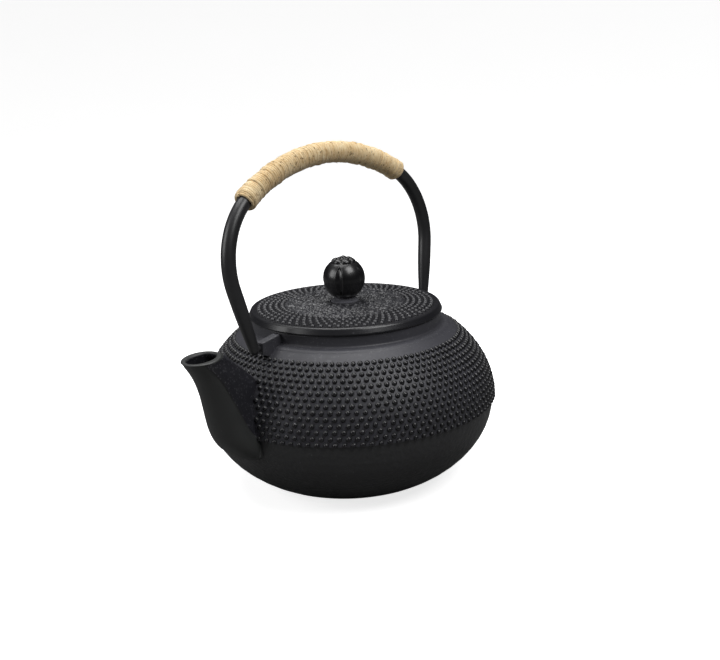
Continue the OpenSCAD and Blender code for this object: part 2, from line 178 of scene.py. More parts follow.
def smooth_between(x: np.ndarray, known: np.ndarray, values: np.ndarray) -> np.ndarray:
    """Draws a smooth curve through known values.

    Args:
        x: Places to read the curve at.
        known: Rising places of the known values.
        values: The known values.

    Returns:
        The curve's value at each place.
    """
    slope = np.gradient(values, known)
    i = np.clip(np.searchsorted(known, x) - 1, 0, len(known) - 2)
    h = known[i + 1] - known[i]
    t = np.clip((x - known[i]) / h, 0, 1)
    a, b = (1 + 2 * t) * (1 - t) ** 2, t * (1 - t) ** 2
    c, d = t * t * (3 - 2 * t), t * t * (t - 1)
    return a * values[i] + b * h * slope[i] + c * values[i + 1] + d * h * slope[i + 1]


def sweep(
    path: np.ndarray, radii: np.ndarray, sides: int, flatten: float = 1.0
) -> tuple[np.ndarray, np.ndarray, np.ndarray]:
    """Runs a round section along a path without twisting it.

    Args:
        path: Points of the centre line.
        radii: Section radius at each point.
        sides: Sides of the section.
        flatten: Height of the section over its width.

    Returns:
        The points, the quads and the (length, round) place of each point.
    """
    ahead = np.gradient(path, axis=0)
    ahead /= np.linalg.norm(ahead, axis=1, keepdims=True)
    side = np.cross(ahead[0], (0.31, 0.77, 0.55))
    turns = np.arange(sides) / sides
    length = np.concatenate([[0], np.cumsum(np.linalg.norm(np.diff(path, axis=0), axis=1))])
    rings, places = [], []
    for centre, t, r, far in zip(path, ahead, radii, length):
        side = side - t * side.dot(t)
        side /= np.linalg.norm(side)
        up = np.cross(t, side)
        ring = np.outer(np.cos(TURN * turns), side) + np.outer(np.sin(TURN * turns) * flatten, up)
        rings.append(centre + r * ring)
        places.append(np.stack([np.full(sides, far), turns], 1))
    return np.concatenate(rings), grid_faces(len(path), sides), np.concatenate(places)


def join(parts: Iterable[tuple[np.ndarray, np.ndarray]]) -> tuple[np.ndarray, list[list[int]]]:
    """Joins several point and face lists into one.

    Args:
        parts: Points and faces of each part.

    Returns:
        All the points and all the faces.
    """
    points, faces, start = [], [], 0
    for p, f in parts:
        points.append(p)
        faces.extend([[int(i) + start for i in face] for face in f])
        start += len(p)
    return np.concatenate(points), faces


def ripple(points: np.ndarray, size: float, seed: float = 0.0) -> np.ndarray:
    """Reads soft, repeatable noise at each point.

    Args:
        points: The places.
        size: Width of a lump.
        seed: Offset that gives another pattern.

    Returns:
        A value from about -1 to 1 for each place.
    """
    shift = Vector((seed * 7.3, seed * 3.1, seed * 5.7))
    return np.array([noise.noise(Vector(p) / size + shift) for p in points])


# ---------------------------------------------------------------- shader tools


class Graph:
    """A node tree under construction, with short calls for adding and wiring nodes."""

    def __init__(self, tree: bpy.types.NodeTree) -> None:
        """Starts on an empty tree."""
        self.tree = tree
        tree.nodes.clear()

    def add(self, kind: str, inputs: Optional[dict] = None, **settings: object) -> bpy.types.Node:
        """Adds a node.

        Args:
            kind: The node's type name, without its ShaderNode prefix.
            inputs: Socket name or number against a value, or a socket to link from.
            **settings: Attributes to set on the node.

        Returns:
            The node.
        """
        node = self.tree.nodes.new(kind if kind.startswith("Node") else "ShaderNode" + kind)
        for key, value in settings.items():
            setattr(node, key, value)
        for key, value in (inputs or {}).items():
            self.feed(node.inputs[key], value)
        return node

    def feed(self, socket: bpy.types.NodeSocket, value: object) -> None:
        """Links a socket to another one, or sets its constant.

        Args:
            socket: The socket that takes the value.
            value: A socket to link from, a colour or a number.
        """
        if isinstance(value, bpy.types.NodeSocket):
            self.tree.links.new(value, socket)
        elif isinstance(value, tuple) and len(value) == 3 and socket.type == "RGBA":
            socket.default_value = (*value, 1.0)
        else:
            socket.default_value = value

    def maths(self, operation: str, *values: object, clamp: bool = False) -> bpy.types.NodeSocket:
        """Adds a Math node and returns its result."""
        node = self.add("Math", dict(enumerate(values)), operation=operation, use_clamp=clamp)
        return node.outputs[0]

    def blend(self, share: object, low: object, high: object) -> bpy.types.NodeSocket:
        """Mixes two colours and returns the result."""
        node = self.add("Mix", {0: share, 6: low, 7: high}, data_type="RGBA")
        return node.outputs[2]

    def spread(self, value: object, low: float, high: float, to_low: float, to_high: float) -> bpy.types.NodeSocket:
        """Maps a range of values onto another and returns the result."""
        return self.add("MapRange", {0: value, 1: low, 2: high, 3: to_low, 4: to_high}).outputs[0]

    def grain(self, place: object, scale: object, detail: float = 2.0, rough: float = 0.5) -> bpy.types.NodeSocket:
        """Adds a noise texture and returns its value."""
        return self.add("TexNoise", {"Vector": place, "Scale": scale, "Detail": detail, "Roughness": rough}).outputs[0]

    def cells(self, place: object, scale: object, feature: str = "F1") -> bpy.types.NodeSocket:
        """Adds a cell texture and returns its distance."""
        return self.add("TexVoronoi", {"Vector": place, "Scale": scale}, feature=feature).outputs["Distance"]


class Effect:
    """A shader node group that several finishes share, built the first time that it is used."""

    name = ""
    inputs: dict[str, tuple[str, object]] = {}
    outputs: tuple[str, ...] = ()

    def fill(self, g: Graph, entry: bpy.types.Node) -> dict[str, bpy.types.NodeSocket]:
        """Makes the group's nodes and returns the socket that feeds each output."""
        raise NotImplementedError

    def tree(self) -> bpy.types.NodeTree:
        """Returns the group's node tree."""
        if self.name in bpy.data.node_groups:
            return bpy.data.node_groups[self.name]
        tree = bpy.data.node_groups.new(self.name, "ShaderNodeTree")
        for label, (kind, value) in self.inputs.items():
            socket = tree.interface.new_socket(label, in_out="INPUT", socket_type="NodeSocket" + kind)
            if value is not None:
                socket.default_value = value
        for label in self.outputs:
            tree.interface.new_socket(label, in_out="OUTPUT", socket_type="NodeSocketFloat")
        g = Graph(tree)
        entry = g.add("NodeGroupInput")
        g.add("NodeGroupOutput", dict(self.fill(g, entry)))
        return tree

    def place(self, g: Graph, **values: object) -> bpy.types.Node:
        """Puts the effect into a finish.

        Args:
            g: The finish's graph.
            **values: Input names, with underscores for spaces, against values or sockets.

        Returns:
            The group node.
        """
        node = g.add("Group", node_tree=self.tree())
        for label, value in values.items():
            g.feed(node.inputs[label.replace("_", " ")], value)
        return node


class CastSkin(Effect):
    """The skin that a sand mould leaves on iron: fine sand grain and soft lumps, with bright specks that are painted
    glints of sparkle.
    """

    name = "cast_skin"
    inputs = {
        "Place": ("Vector", None),
        "Sand Size": ("Float", 0.0004),
        "Sand": ("Float", 0.5),
        "Leather Size": ("Float", 0.003),
        "Leather": ("Float", 0.4),
        "Speck Share": ("Float", 0.3),
    }
    outputs = ("Height", "Tone", "Speck")

    def fill(self, g: Graph, entry: bpy.types.Node) -> dict[str, bpy.types.NodeSocket]:
        """Makes the nodes of the cast skin.

        Args:
            g: The group's graph.
            entry: The node that brings the group's inputs in.

        Returns:
            The socket that feeds each output.
        """
        place, sand = entry.outputs["Place"], entry.outputs["Sand"]
        sand_scale = g.maths("DIVIDE", 1.0, entry.outputs["Sand Size"])
        hide_scale = g.maths("DIVIDE", 1.0, entry.outputs["Leather Size"])
        fine = g.grain(place, sand_scale, 3.0, 0.6)
        pits = g.spread(g.cells(place, g.maths("MULTIPLY", sand_scale, 0.45)), 0.0, 0.45, 0.0, 1.0)
        sandy = g.maths("MULTIPLY", g.maths("ADD", fine, g.maths("MULTIPLY", pits, 0.5)), sand)
        wrinkle = g.maths("MULTIPLY", g.grain(place, hide_scale, 4.0, 0.55), entry.outputs["Leather"])
        dome = g.spread(g.cells(place, hide_scale, "SMOOTH_F1"), 0.0, 0.7, 1.0, 0.0)
        fold = g.maths("MULTIPLY", dome, g.maths("MULTIPLY", entry.outputs["Leather"], 0.6))
        height = g.maths("ADD", sandy, g.maths("ADD", wrinkle, fold))
        tone = g.spread(g.grain(place, 22.0, 3.0, 0.6), 0.3, 0.7, 0.0, 1.0)
        # Scattered bright specks: painted glints of sparkle.
        dots = g.cells(place, g.maths("MULTIPLY", sand_scale, 0.38))
        rare = g.grain(place, g.maths("MULTIPLY", sand_scale, 0.19), 1.0)
        near = g.maths("LESS_THAN", dots, 0.3)
        bar = g.maths("SUBTRACT", 0.75, g.maths("MULTIPLY", entry.outputs["Speck Share"], 0.3))
        glint_speck = g.maths("MULTIPLY", near, g.maths("GREATER_THAN", rare, bar))
        return {"Height": height, "Tone": tone, "Speck": glint_speck}


class Brushing(Effect):
    """Fine parallel marks that a polishing belt leaves on metal."""

    name = "brushing"
    inputs = {"Place": ("Vector", None), "Mark Width": ("Float", 0.0003), "Stretch": ("Float", 40.0)}
    outputs = ("Height", "Tone")

    def fill(self, g: Graph, entry: bpy.types.Node) -> dict[str, bpy.types.NodeSocket]:
        """Makes the nodes of the brushing.

        Args:
            g: The group's graph.
            entry: The node that brings the group's inputs in.

        Returns:
            The socket that feeds each output.
        """
        parts = g.add("SeparateXYZ", {0: entry.outputs["Place"]})
        round_it = g.maths("ARCTAN2", parts.outputs[1], parts.outputs[0])
        stretched = g.maths("DIVIDE", round_it, entry.outputs["Stretch"])
        across = g.add("CombineXYZ", {0: stretched, 1: parts.outputs[2], 2: 0.0})
        marks = g.grain(across.outputs[0], g.maths("DIVIDE", 1.0, entry.outputs["Mark Width"]), 4.0, 0.7)
        cloud = g.grain(entry.outputs["Place"], 60.0, 2.0)
        return {"Height": marks, "Tone": g.maths("MULTIPLY", g.maths("ADD", marks, cloud), 0.5)}


class Fibre(Effect):
    """Jute fibres that run along a strand, with darker bark and pale straws."""

    name = "fibre"
    inputs = {"Strand": ("Vector", None), "Place": ("Vector", None)}
    outputs = ("Height", "Tone", "Bark")

    def fill(self, g: Graph, entry: bpy.types.Node) -> dict[str, bpy.types.NodeSocket]:
        """Makes the nodes of the fibres.

        Args:
            g: The group's graph.
            entry: The node that brings the group's inputs in.

        Returns:
            The socket that feeds each output.
        """
        run = self.stretch(g, entry, (260.0, 9.0, 1.0))
        hair = g.grain(run, 1.0, 4.0, 0.7)
        patch = g.grain(entry.outputs["Place"], 130.0, 3.0, 0.6)
        turn = g.grain(entry.outputs["Place"], 700.0, 2.0, 0.6)
        cloud = g.maths("ADD", g.maths("MULTIPLY", patch, 0.3), g.maths("MULTIPLY", turn, 0.2))
        tone = g.maths("ADD", g.maths("MULTIPLY", hair, 0.5), cloud)
        fleck = g.grain(self.stretch(g, entry, (900.0, 5.0, 1.0)), 1.0, 2.0)
        bark = g.spread(g.maths("MULTIPLY", fleck, g.grain(entry.outputs["Place"], 420.0, 1.0)), 0.34, 0.42, 0.0, 1.0)
        return {"Height": hair, "Tone": tone, "Bark": bark}

    def stretch(self, g: Graph, entry: bpy.types.Node, amount: tuple[float, float, float]) -> bpy.types.NodeSocket:
        """Scales the strand's length and round places, so that noise runs along it."""
        node = g.add("VectorMath", {0: entry.outputs["Strand"], 1: amount}, operation="MULTIPLY")
        return node.outputs[0]


@dataclass(frozen=True)
class CastIron:
    """Black cast iron, from the coarse skin of the studded half to the smooth bowl and spout."""

    name: str
    dark: Colour = (0.010, 0.010, 0.012)
    light: Colour = (0.022, 0.022, 0.026)
    roughness: float = 0.46
    specular: float = 0.5
    sand_size: float = 0.45 * MM
    sand: float = 0.6
    leather_size: float = 3.0 * MM
    leather: float = 0.3
    relief: float = 0.10 * MM
    glint_specks: float = 0.3
    crown_gloss: float = 0.0
    crown_tint: float = 0.0
    pale_tone: Colour = (0.11, 0.11, 0.12)

    def build(self) -> bpy.types.Material:
        """Returns the material."""
        material = bpy.data.materials.new(self.name)
        material.use_nodes = True
        g = Graph(material.node_tree)
        place = g.add("TexCoord").outputs["Object"]
        skin = CastSkin().place(
            g, Place=place, Sand_Size=self.sand_size, Sand=self.sand,
            Leather_Size=self.leather_size, Leather=self.leather, Speck_Share=self.glint_specks,
        )
        base = g.blend(skin.outputs["Tone"], self.dark, self.light)
        # The specks' pale colour is a painted glint; the lower roughness that they get below is a real glossy fleck.
        base = g.blend(g.maths("MULTIPLY", skin.outputs["Speck"], 0.7), base, (0.09, 0.09, 0.10))
        rough = g.spread(skin.outputs["Tone"], 0.0, 1.0, self.roughness + 0.06, self.roughness - 0.05)
        rough = g.maths("SUBTRACT", rough, g.maths("MULTIPLY", skin.outputs["Speck"], 0.12))
        if self.crown_gloss or self.crown_tint:
            crown = g.add("Attribute", attribute_name="crown").outputs["Fac"]
            rough = g.maths("SUBTRACT", rough, g.maths("MULTIPLY", crown, self.crown_gloss))
            # A paler colour on the crowns of the relief, by the crown mark.
            base = g.blend(g.maths("MULTIPLY", g.maths("POWER", crown, 2.0), self.crown_tint), base, self.pale_tone)
        bump = g.add("Bump", {"Strength": 1.0, "Distance": self.relief, "Height": skin.outputs["Height"]})
        shader = g.add("BsdfPrincipled", {"Base Color": base, "Roughness": rough, "Normal": bump.outputs[0]})
        shader.inputs["Specular IOR Level"].default_value = self.specular
        g.add("OutputMaterial", {0: shader.outputs[0]})
        return material


@dataclass(frozen=True)
class SatinCoat:
    """A black coat baked on bare metal, satin on the bail and glossy on the knob."""

    name: str
    colour: Colour = (0.011, 0.011, 0.012)
    pale_tone: Colour = (0.030, 0.030, 0.032)
    roughness: float = 0.34
    peel: float = 0.02 * MM
    peel_size: float = 1.6 * MM
    coat: float = 0.0
    coat_roughness: float = 0.1

    def build(self) -> bpy.types.Material:
        """Returns the material."""
        material = bpy.data.materials.new(self.name)
        material.use_nodes = True
        g = Graph(material.node_tree)
        place = g.add("TexCoord").outputs["Object"]
        skin = CastSkin().place(
            g, Place=place, Sand_Size=self.peel_size * 0.4, Sand=0.35,
            Leather_Size=self.peel_size, Leather=0.7, Speck_Share=0.0,
        )
        base = g.blend(skin.outputs["Tone"], self.colour, self.pale_tone)
        rough = g.spread(skin.outputs["Tone"], 0.0, 1.0, self.roughness + 0.05, self.roughness - 0.04)
        bump = g.add("Bump", {"Strength": 1.0, "Distance": self.peel, "Height": skin.outputs["Height"]})
        shader = g.add("BsdfPrincipled", {"Base Color": base, "Roughness": rough, "Normal": bump.outputs[0]})
        shader.inputs["Coat Weight"].default_value = self.coat
        shader.inputs["Coat Roughness"].default_value = self.coat_roughness
        g.add("OutputMaterial", {0: shader.outputs[0]})
        return material


@dataclass(frozen=True)
class BrushedSteel:
    """Stainless steel with fine marks round it."""

    name: str
    colour: Colour = (0.52, 0.52, 0.53)
    roughness: float = 0.30
    mark_width: float = 0.35 * MM

    def build(self) -> bpy.types.Material:
        """Returns the material."""
        material = bpy.data.materials.new(self.name)
        material.use_nodes = True
        g = Graph(material.node_tree)
        place = g.add("TexCoord").outputs["Object"]
        marks = Brushing().place(g, Place=place, Mark_Width=self.mark_width)
        darker = tuple(c * 0.75 for c in self.colour)
        base = g.blend(marks.outputs["Tone"], darker, self.colour)
        rough = g.spread(marks.outputs["Tone"], 0.3, 0.7, self.roughness - 0.06, self.roughness + 0.10)
        bump = g.add("Bump", {"Strength": 0.5, "Distance": 0.01 * MM, "Height": marks.outputs["Height"]})
        shader = g.add("BsdfPrincipled", {"Base Color": base, "Roughness": rough, "Normal": bump.outputs[0]})
        shader.inputs["Metallic"].default_value = 1.0
        g.add("OutputMaterial", {0: shader.outputs[0]})
        return material


@dataclass(frozen=True)
class JuteTwine:
    """Dry golden jute: pale fibres over darker ones, with flecks of bark."""

    name: str
    shade: Colour = (0.26, 0.15, 0.055)
    body: Colour = (0.72, 0.52, 0.27)
    straw: Colour = (0.95, 0.82, 0.56)
    bark: Colour = (0.12, 0.06, 0.02)

    def build(self) -> bpy.types.Material:
        """Returns the material."""
        material = bpy.data.materials.new(self.name)
        material.use_nodes = True
        g = Graph(material.node_tree)
        place = g.add("TexCoord").outputs["Object"]
        strand = g.add("UVMap", uv_map="strand").outputs[0]
        fibre = Fibre().place(g, Strand=strand, Place=place)
        ramp = g.add("ValToRGB", {0: fibre.outputs["Tone"]})
        stops = ramp.color_ramp.elements
        stops[0].position, stops[0].color = 0.30, (*self.shade, 1.0)
        stops[1].position, stops[1].color = 0.66, (*self.straw, 1.0)
        middle = stops.new(0.46)
        middle.color = (*self.body, 1.0)
        base = g.blend(g.maths("MULTIPLY", fibre.outputs["Bark"], 0.75), ramp.outputs[0], self.bark)
        bump = g.add("Bump", {"Strength": 0.9, "Distance": 0.16 * MM, "Height": fibre.outputs["Height"]})
        shader = g.add("BsdfPrincipled", {"Base Color": base, "Normal": bump.outputs[0]})
        shader.inputs["Roughness"].default_value = 0.85
        shader.inputs["Specular IOR Level"].default_value = 0.2
        shader.inputs["Sheen Weight"].default_value = 0.35
        shader.inputs["Sheen Roughness"].default_value = 0.5
        g.add("OutputMaterial", {0: shader.outputs[0]})
        return material


@dataclass(frozen=True)
class PaleFloor:
    """Matt off-white studio board."""

    name: str
    low: Colour = (0.80, 0.80, 0.80)
    high: Colour = (0.86, 0.86, 0.86)
    cast: Colour = (0.16, 0.16, 0.16)
    glow: float = 0.78

    def build(self) -> bpy.types.Material:
        """Returns the material."""
        material = bpy.data.materials.new(self.name)
        material.use_nodes = True
        g = Graph(material.node_tree)
        place = g.add("TexCoord").outputs["Object"]
        base = g.blend(g.grain(place, 6.0, 3.0), self.low, self.high)
        seen = g.add("BsdfPrincipled", {"Base Color": base})
        seen.inputs["Roughness"].default_value = 0.9
        seen.inputs["Specular IOR Level"].default_value = 0.1
        seen.inputs["Emission Color"].default_value = (1.0, 1.0, 1.0, 1.0)
        seen.inputs["Emission Strength"].default_value = self.glow
        dim = tuple(c * 0.9 for c in self.cast)
        cast = g.add("BsdfPrincipled", {"Base Color": g.blend(g.grain(place, 6.0, 3.0), dim, self.cast)})
        cast.inputs["Roughness"].default_value = 0.9
        ray = g.add("LightPath").outputs["Is Camera Ray"]
        g.add("OutputMaterial", {0: g.add("MixShader", {0: ray, 1: cast.outputs[0], 2: seen.outputs[0]}).outputs[0]})
        return material


# ---------------------------------------------------------------- studs


@dataclass(frozen=True)
class Stud:
    """One rounded stud of the cast pattern, as rings from its crown to its sunk foot."""

    height: float = 1.25 * MM
    sides: int = 12
    radii: tuple[float, ...] = (0.36, 0.64, 0.85, 0.97, 1.02)
    heights: tuple[float, ...] = (0.95, 0.78, 0.50, 0.16, -0.30)

    def template(self) -> tuple[np.ndarray, list[list[int]], np.ndarray]:
        """Makes the stud on a unit footprint.

        Returns:
            Its points as (across, along, height), its faces and the crown mark of each point.
        """
        a = TURN * np.arange(self.sides) / self.sides
        points = [np.array([[0.0, 0.0, self.height]])]
        for r, h in zip(self.radii, self.heights):
            points.append(np.stack([r * np.cos(a), r * np.sin(a), np.full(self.sides, h * self.height)], 1))
        n = self.sides
        faces = [[0, 1 + j, 1 + (j + 1) % n] for j in range(n)]
        for k in range(len(self.radii) - 1):
            low = 1 + k * n
            faces += [[low + j, low + n + j, low + n + (j + 1) % n, low + (j + 1) % n] for j in range(n)]
        last = 1 + (len(self.radii) - 1) * n
        faces.append([last + j for j in range(n - 1, -1, -1)])
        every = np.concatenate(points)
        return every, faces, np.clip(every[:, 2] / self.height, 0, 1) ** 2


def set_studs(
    stud: Stud, feet: np.ndarray, across: np.ndarray, along: np.ndarray, out: np.ndarray, sizes: np.ndarray
) -> tuple[np.ndarray, list[list[int]], np.ndarray]:
    """Copies a stud onto many feet.

    Args:
        stud: The stud to copy.
        feet: Foot of each copy.
        across: Direction of each copy's width.
        along: Direction of each copy's length.
        out: Direction in which each copy stands.
        sizes: Half width, half length and height scale of each copy.

    Returns:
        The points, the faces and the crown marks.
    """
    shape, faces, crown = stud.template()
    points = (
        feet[:, None]
        + shape[None, :, 0:1] * sizes[:, None, 0:1] * across[:, None]
        + shape[None, :, 1:2] * sizes[:, None, 1:2] * along[:, None]
        + shape[None, :, 2:3] * sizes[:, None, 2:3] * out[:, None]
    ).reshape(-1, 3)
    every = [[i + k * len(shape) for i in face] for k in range(len(feet)) for face in faces]
    return points, every, np.tile(crown, len(feet))


# ---------------------------------------------------------------- pot


@dataclass
class PotCasting:
    """The pot's outside: the studded upper half, the spout with its lip, and the two lugs."""

    belly_r: float = 82.5 * MM
    belly_z: float = 46.0 * MM
    shoulder_z: float = 89.2 * MM
    crease_drop: float = 0.6 * MM
    neck_r: float = 53.2 * MM
    shoulder_flat: float = 4.0 * MM
    studs_per_row: int = 111
    stud_rows: int = 14
    first_row: float = 0.8 * MM
    row_step: float = 3.29 * MM
    stud_r: float = 1.52 * MM
    lug_reach: float = 66.8 * MM
    lug_foot: float = 62.2 * MM
    lug_top: float = 94.8 * MM
    lug_end_top: float = 92.8 * MM
    lug_end_low: float = 86.8 * MM
    lug_half: float = 2.5 * MM
    lip_x: float = 105.8 * MM
    lip_z: float = 94.5 * MM
    lip_r: float = 10.2 * MM
    lip_tilt: float = 5.0
    wall: float = 2.6 * MM
    bore_rings: int = 34

    def rise(self) -> float:
        """Upright radius of the upper half's ellipse."""
        ratio = (self.neck_r + self.shoulder_flat) / self.belly_r
        return (self.shoulder_z - self.crease_drop - self.belly_z) / math.sqrt(1 - ratio**2)

    def upper_r(self, z: np.ndarray) -> np.ndarray:
        """Radius of the upper half at each height."""
        return self.belly_r * np.sqrt(np.clip(1 - ((z - self.belly_z) / self.rise()) ** 2, 0, 1))

    def bowl_r(self, z: np.ndarray) -> np.ndarray:
        """Radius of the lower half at each height."""
        base_r, low, high, step = 39.6 * MM, 2.05, 0.71, 0.5 * MM
        share = np.clip(z / self.belly_z, 0, 1)
        return base_r + (self.belly_r - step - base_r) * (1 - (1 - share) ** low) ** high

    def outer_r(self, z: np.ndarray) -> np.ndarray:
        """Radius of the whole pot at each height."""
        return np.where(z > self.belly_z, self.upper_r(z), self.bowl_r(z))

    def flank_half(self, z: np.ndarray) -> np.ndarray:
        """Half the width of the spout's root where it meets the pot, at each height."""
        heights = np.array([44.0, 47.8, 53.8, 67.9, 74.1, 76.5]) * MM
        halves = np.array([11.0, 10.1, 8.6, 4.2, 0.9, -1.5]) * MM
        return np.interp(z, heights, halves)

    def build(
        self, coarse: bpy.types.Material, smooth: bpy.types.Material, skin: bpy.types.Material, side: bpy.types.Material
    ) -> None:
        """Makes and dresses every piece of the casting.

        Args:
            coarse: Finish of the studs, with painted shade in its darker base colour.
            smooth: Finish of the spout's nose.
            skin: Finish of the upper half itself, with painted light in its lighter base colour.
            side: Finish of the spout's flanks.
        """
        # The shoulder and neck take the iron lightened with painted light.
        for node in ("pot_shoulder", "pot_neck"):
            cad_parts[node].data.materials[0] = skin
        self.build_studs(coarse)
        self.build_spout(side, smooth)
        self.build_lugs(skin)
        self.build_neck(skin)

    def build_studs(self, finish: bpy.types.Material) -> None:
        """Makes the rows of studs round the upper half.

        Args:
            finish: The studs' finish, with painted shade in its darker base colour.
        """
        z = np.linspace(self.belly_z, self.shoulder_z - self.crease_drop, 600)
        r = self.upper_r(z)
        run = np.concatenate([[0], np.cumsum(np.hypot(np.diff(z), np.diff(r)))])
        rng = np.random.default_rng(11)
        feet, across, along, out, sizes = [], [], [], [], []
        for row in range(self.stud_rows):
            far = self.first_row + row * self.row_step
            height, radius = np.interp(far, run, z), np.interp(far, run, r)
            lean = np.interp(far + 0.1 * MM, run, r) - radius, np.interp(far + 0.1 * MM, run, z) - height
            lean = np.array(lean) / np.hypot(*lean)
            pitch = TURN * radius / self.studs_per_row
            width = min(self.stud_r, 0.40 * pitch)
            for k in range(self.studs_per_row):
                a = TURN * (k + 0.5 * (row % 2) + rng.normal(0, 0.012)) / self.studs_per_row
                x, y = radius * math.cos(a), radius * math.sin(a)
                near_spout = x < 0 and abs(y) < self.flank_half(height) + 1.2 * MM
                near_lug = abs(y) < self.lug_half + 1.0 * MM and abs(x) < self.lug_foot + 0.6 * MM
                if near_spout or near_lug:
                    continue
                sway = rng.normal(0, 0.05, 4)
                feet.append((x, y, height + sway[0] * MM))
                across.append((-math.sin(a), math.cos(a), 0))
                along.append((lean[0] * math.cos(a), lean[0] * math.sin(a), lean[1]))
                out.append((lean[1] * math.cos(a), lean[1] * math.sin(a), -lean[0]))
                sizes.append((width * (1 + sway[1]), self.stud_r * (1 + sway[2]), 1 + sway[3]))
        points, faces, crown = set_studs(Stud(), *map(np.array, (feet, across, along, out, sizes)))
        points[:, 2] = np.maximum(points[:, 2], self.belly_z + 0.05 * MM)
        make_piece("shoulder_studs", points, faces, finish, Body.POT, Slot.POT_IRON, marks={"crown": crown})

    def cuts(self) -> np.ndarray:
        """Lists the level cuts through the spout.

        Returns:
            Drop below the lip, reach of the nose and of the ridge, and the radius of each, from the lip down.
        """
        rows = np.array([
            [61.5, -2.5, -20, 12.0, 12.0],
            [59.0, 4.3, -20, 12.4, 11.6],
            [55.5, 9.1, -20, 12.2, 10.4],
            [51.5, 13.3, -20, 12.0, 9.0],
            [47.0, 16.5, -20, 11.6, 7.4],
            [41.5, 19.0, -18, 11.2, 5.8],
            [34.5, 20.9, -16, 10.6, 4.2],
            [28.5, 22.1, -14, 10.2, 3.0],
            [21.5, 23.6, -12, 9.8, 2.8],
            [14.5, 25.8, -4.5, 9.6, 3.4],
            [7.5, 29.1, 4.0, 9.6, 5.4],
            [3.0, 31.9, 9.0, 9.8, 8.0],
        ]) * MM
        reach = self.lip_x - self.belly_r
        lip = [0, reach + self.lip_r, reach - self.lip_r, self.lip_r, self.lip_r]
        return np.vstack([rows, lip])[::-1]

    def cut_outline(self, drop: float, inset: float, steps: int = 220) -> np.ndarray:
        """Half the outline of one level cut, from the front of the nose round to the ridge.

        Args:
            drop: Depth of the cut below the lip.
            inset: How far the outline is moved inwards.
            steps: Number of points.

        Returns:
            Points of the half with negative y.
        """
        table = self.cuts()
        nose, ridge, r1, r2 = (smooth_between(np.array([drop]), table[:, 0], table[:, k])[0] for k in (1, 2, 3, 4))
        nose, ridge, r1, r2 = nose - inset, ridge + inset, max(r1 - inset, MM), max(r2 - inset, MM)
        x1, x2 = -self.belly_r - nose + r1, -self.belly_r - ridge - r2
        gap = x2 - x1
        open_at = math.acos(min(max((r1 - r2) / gap, -0.95), 0.95)) if gap > 0.1 * MM else math.pi / 2
        front = np.linspace(math.pi, TURN - open_at, steps // 2)
        back = np.linspace(TURN - open_at, TURN, steps // 4)
        xs = np.concatenate([x1 + r1 * np.cos(front), x2 + r2 * np.cos(back)])
        ys = np.concatenate([r1 * np.sin(front), r2 * np.sin(back)])
        tilt = math.radians(self.lip_tilt) * max(0.0, 1 - drop / (20 * MM))
        return np.stack([xs, ys, self.lip_z - drop + (xs + self.lip_x) * math.tan(tilt)], 1)

    def crease_x(self, z: np.ndarray) -> np.ndarray:
        """Where the mould line runs up the spout's side, at each height."""
        line = np.array([
            (-82.2, 33.0), (-81.3, 46.9), (-84.5, 50.3), (-87.6, 54.6), (-90.5, 60.3), (-93.3, 66.5),
            (-96.1, 72.1), (-98.9, 77.6), (-101.7, 82.6), (-104.0, 85.8), (-107.4, 89.8), (-110.9, 93.2),
        ]) * MM
        return np.interp(z, line[:, 1], line[:, 0])

    def spread_along(self, outline: np.ndarray, count: int) -> np.ndarray:
        """Puts a number of points at even steps along an outline."""
        run = np.concatenate([[0], np.cumsum(np.linalg.norm(np.diff(outline, axis=0), axis=1))])
        at = np.linspace(0, run[-1], count)
        return np.stack([np.interp(at, run, outline[:, k]) for k in range(3)], 1)

    def keep_off_bore(self, points: np.ndarray, depth: float) -> tuple[np.ndarray, np.ndarray]:
        """Moves points that lie deep in the pot's wall out to just under its surface.

        Args:
            points: The points.
            depth: Depth under the surface that they come out to.

        Returns:
            The moved points, and which ones were moved.
        """
        limit = self.outer_r(points[:, 2]) - depth
        far = np.hypot(points[:, 0], points[:, 1])
        deep = far < limit
        scale = np.where(deep, limit / np.maximum(far, MM), 1.0)
        moved = points.copy()
        moved[:, 0] *= scale
        moved[:, 1] *= scale
        return moved, deep

    def build_spout(self, coarse: bpy.types.Material, smooth: bpy.types.Material) -> None:
        """Makes the spout: a smooth nose and coarse flanks that meet at the mould line, and its bore.

        Args:
            coarse: Finish of the flanks and the bore.
            smooth: Finish of the nose and the lip.
        """
        nose_n, flank_n, step = 22, 34, 0.28 * MM
        drops = np.concatenate([np.linspace(61.5, 8, 66), np.linspace(7.2, 0.9, 12)]) * MM
        rings = []
        for drop in drops:
            half = self.spread_along(self.cut_outline(drop, 0.0), 600)
            at = int(np.clip(np.argmax(half[:, 0] >= self.crease_x(half[:, 2])), 20, len(half) - 20))
            nose, flank = self.spread_along(half[: at + 1], nose_n), self.spread_along(half[at:], flank_n)
            tangent = np.gradient(flank, axis=0)
            normal = np.stack([tangent[:, 1], -tangent[:, 0]], 1)
            normal /= np.maximum(np.linalg.norm(normal, axis=1, keepdims=True), 1e-12)
            away = np.linalg.norm(flank - flank[0], axis=1)
            above = float(np.clip((half[at, 2] - 50 * MM) / (8 * MM), 0, 1))
            fade = step * np.exp(-((away / (5 * MM)) ** 2)) * min(1.0, drop / (4 * MM)) * above
            flank[:, :2] += normal * fade[:, None]
            rings.append(np.concatenate([nose, flank]))
        rings = self.add_lip(rings, nose_n, flank_n)
        half_n = nose_n + flank_n
        full = []
        for ring in rings:
            mirror = ring[::-1] * (1, -1, 1)
            full.append(np.concatenate([ring, mirror[1:-1]]))
        columns = 2 * half_n - 2
        points = np.concatenate(full)
        points, deep = self.keep_off_bore(points, 1.2 * MM)
        quads = [q for q in grid_faces(len(full), columns) if not all(deep[q])]
        marks = {"crown": np.zeros(len(points))}
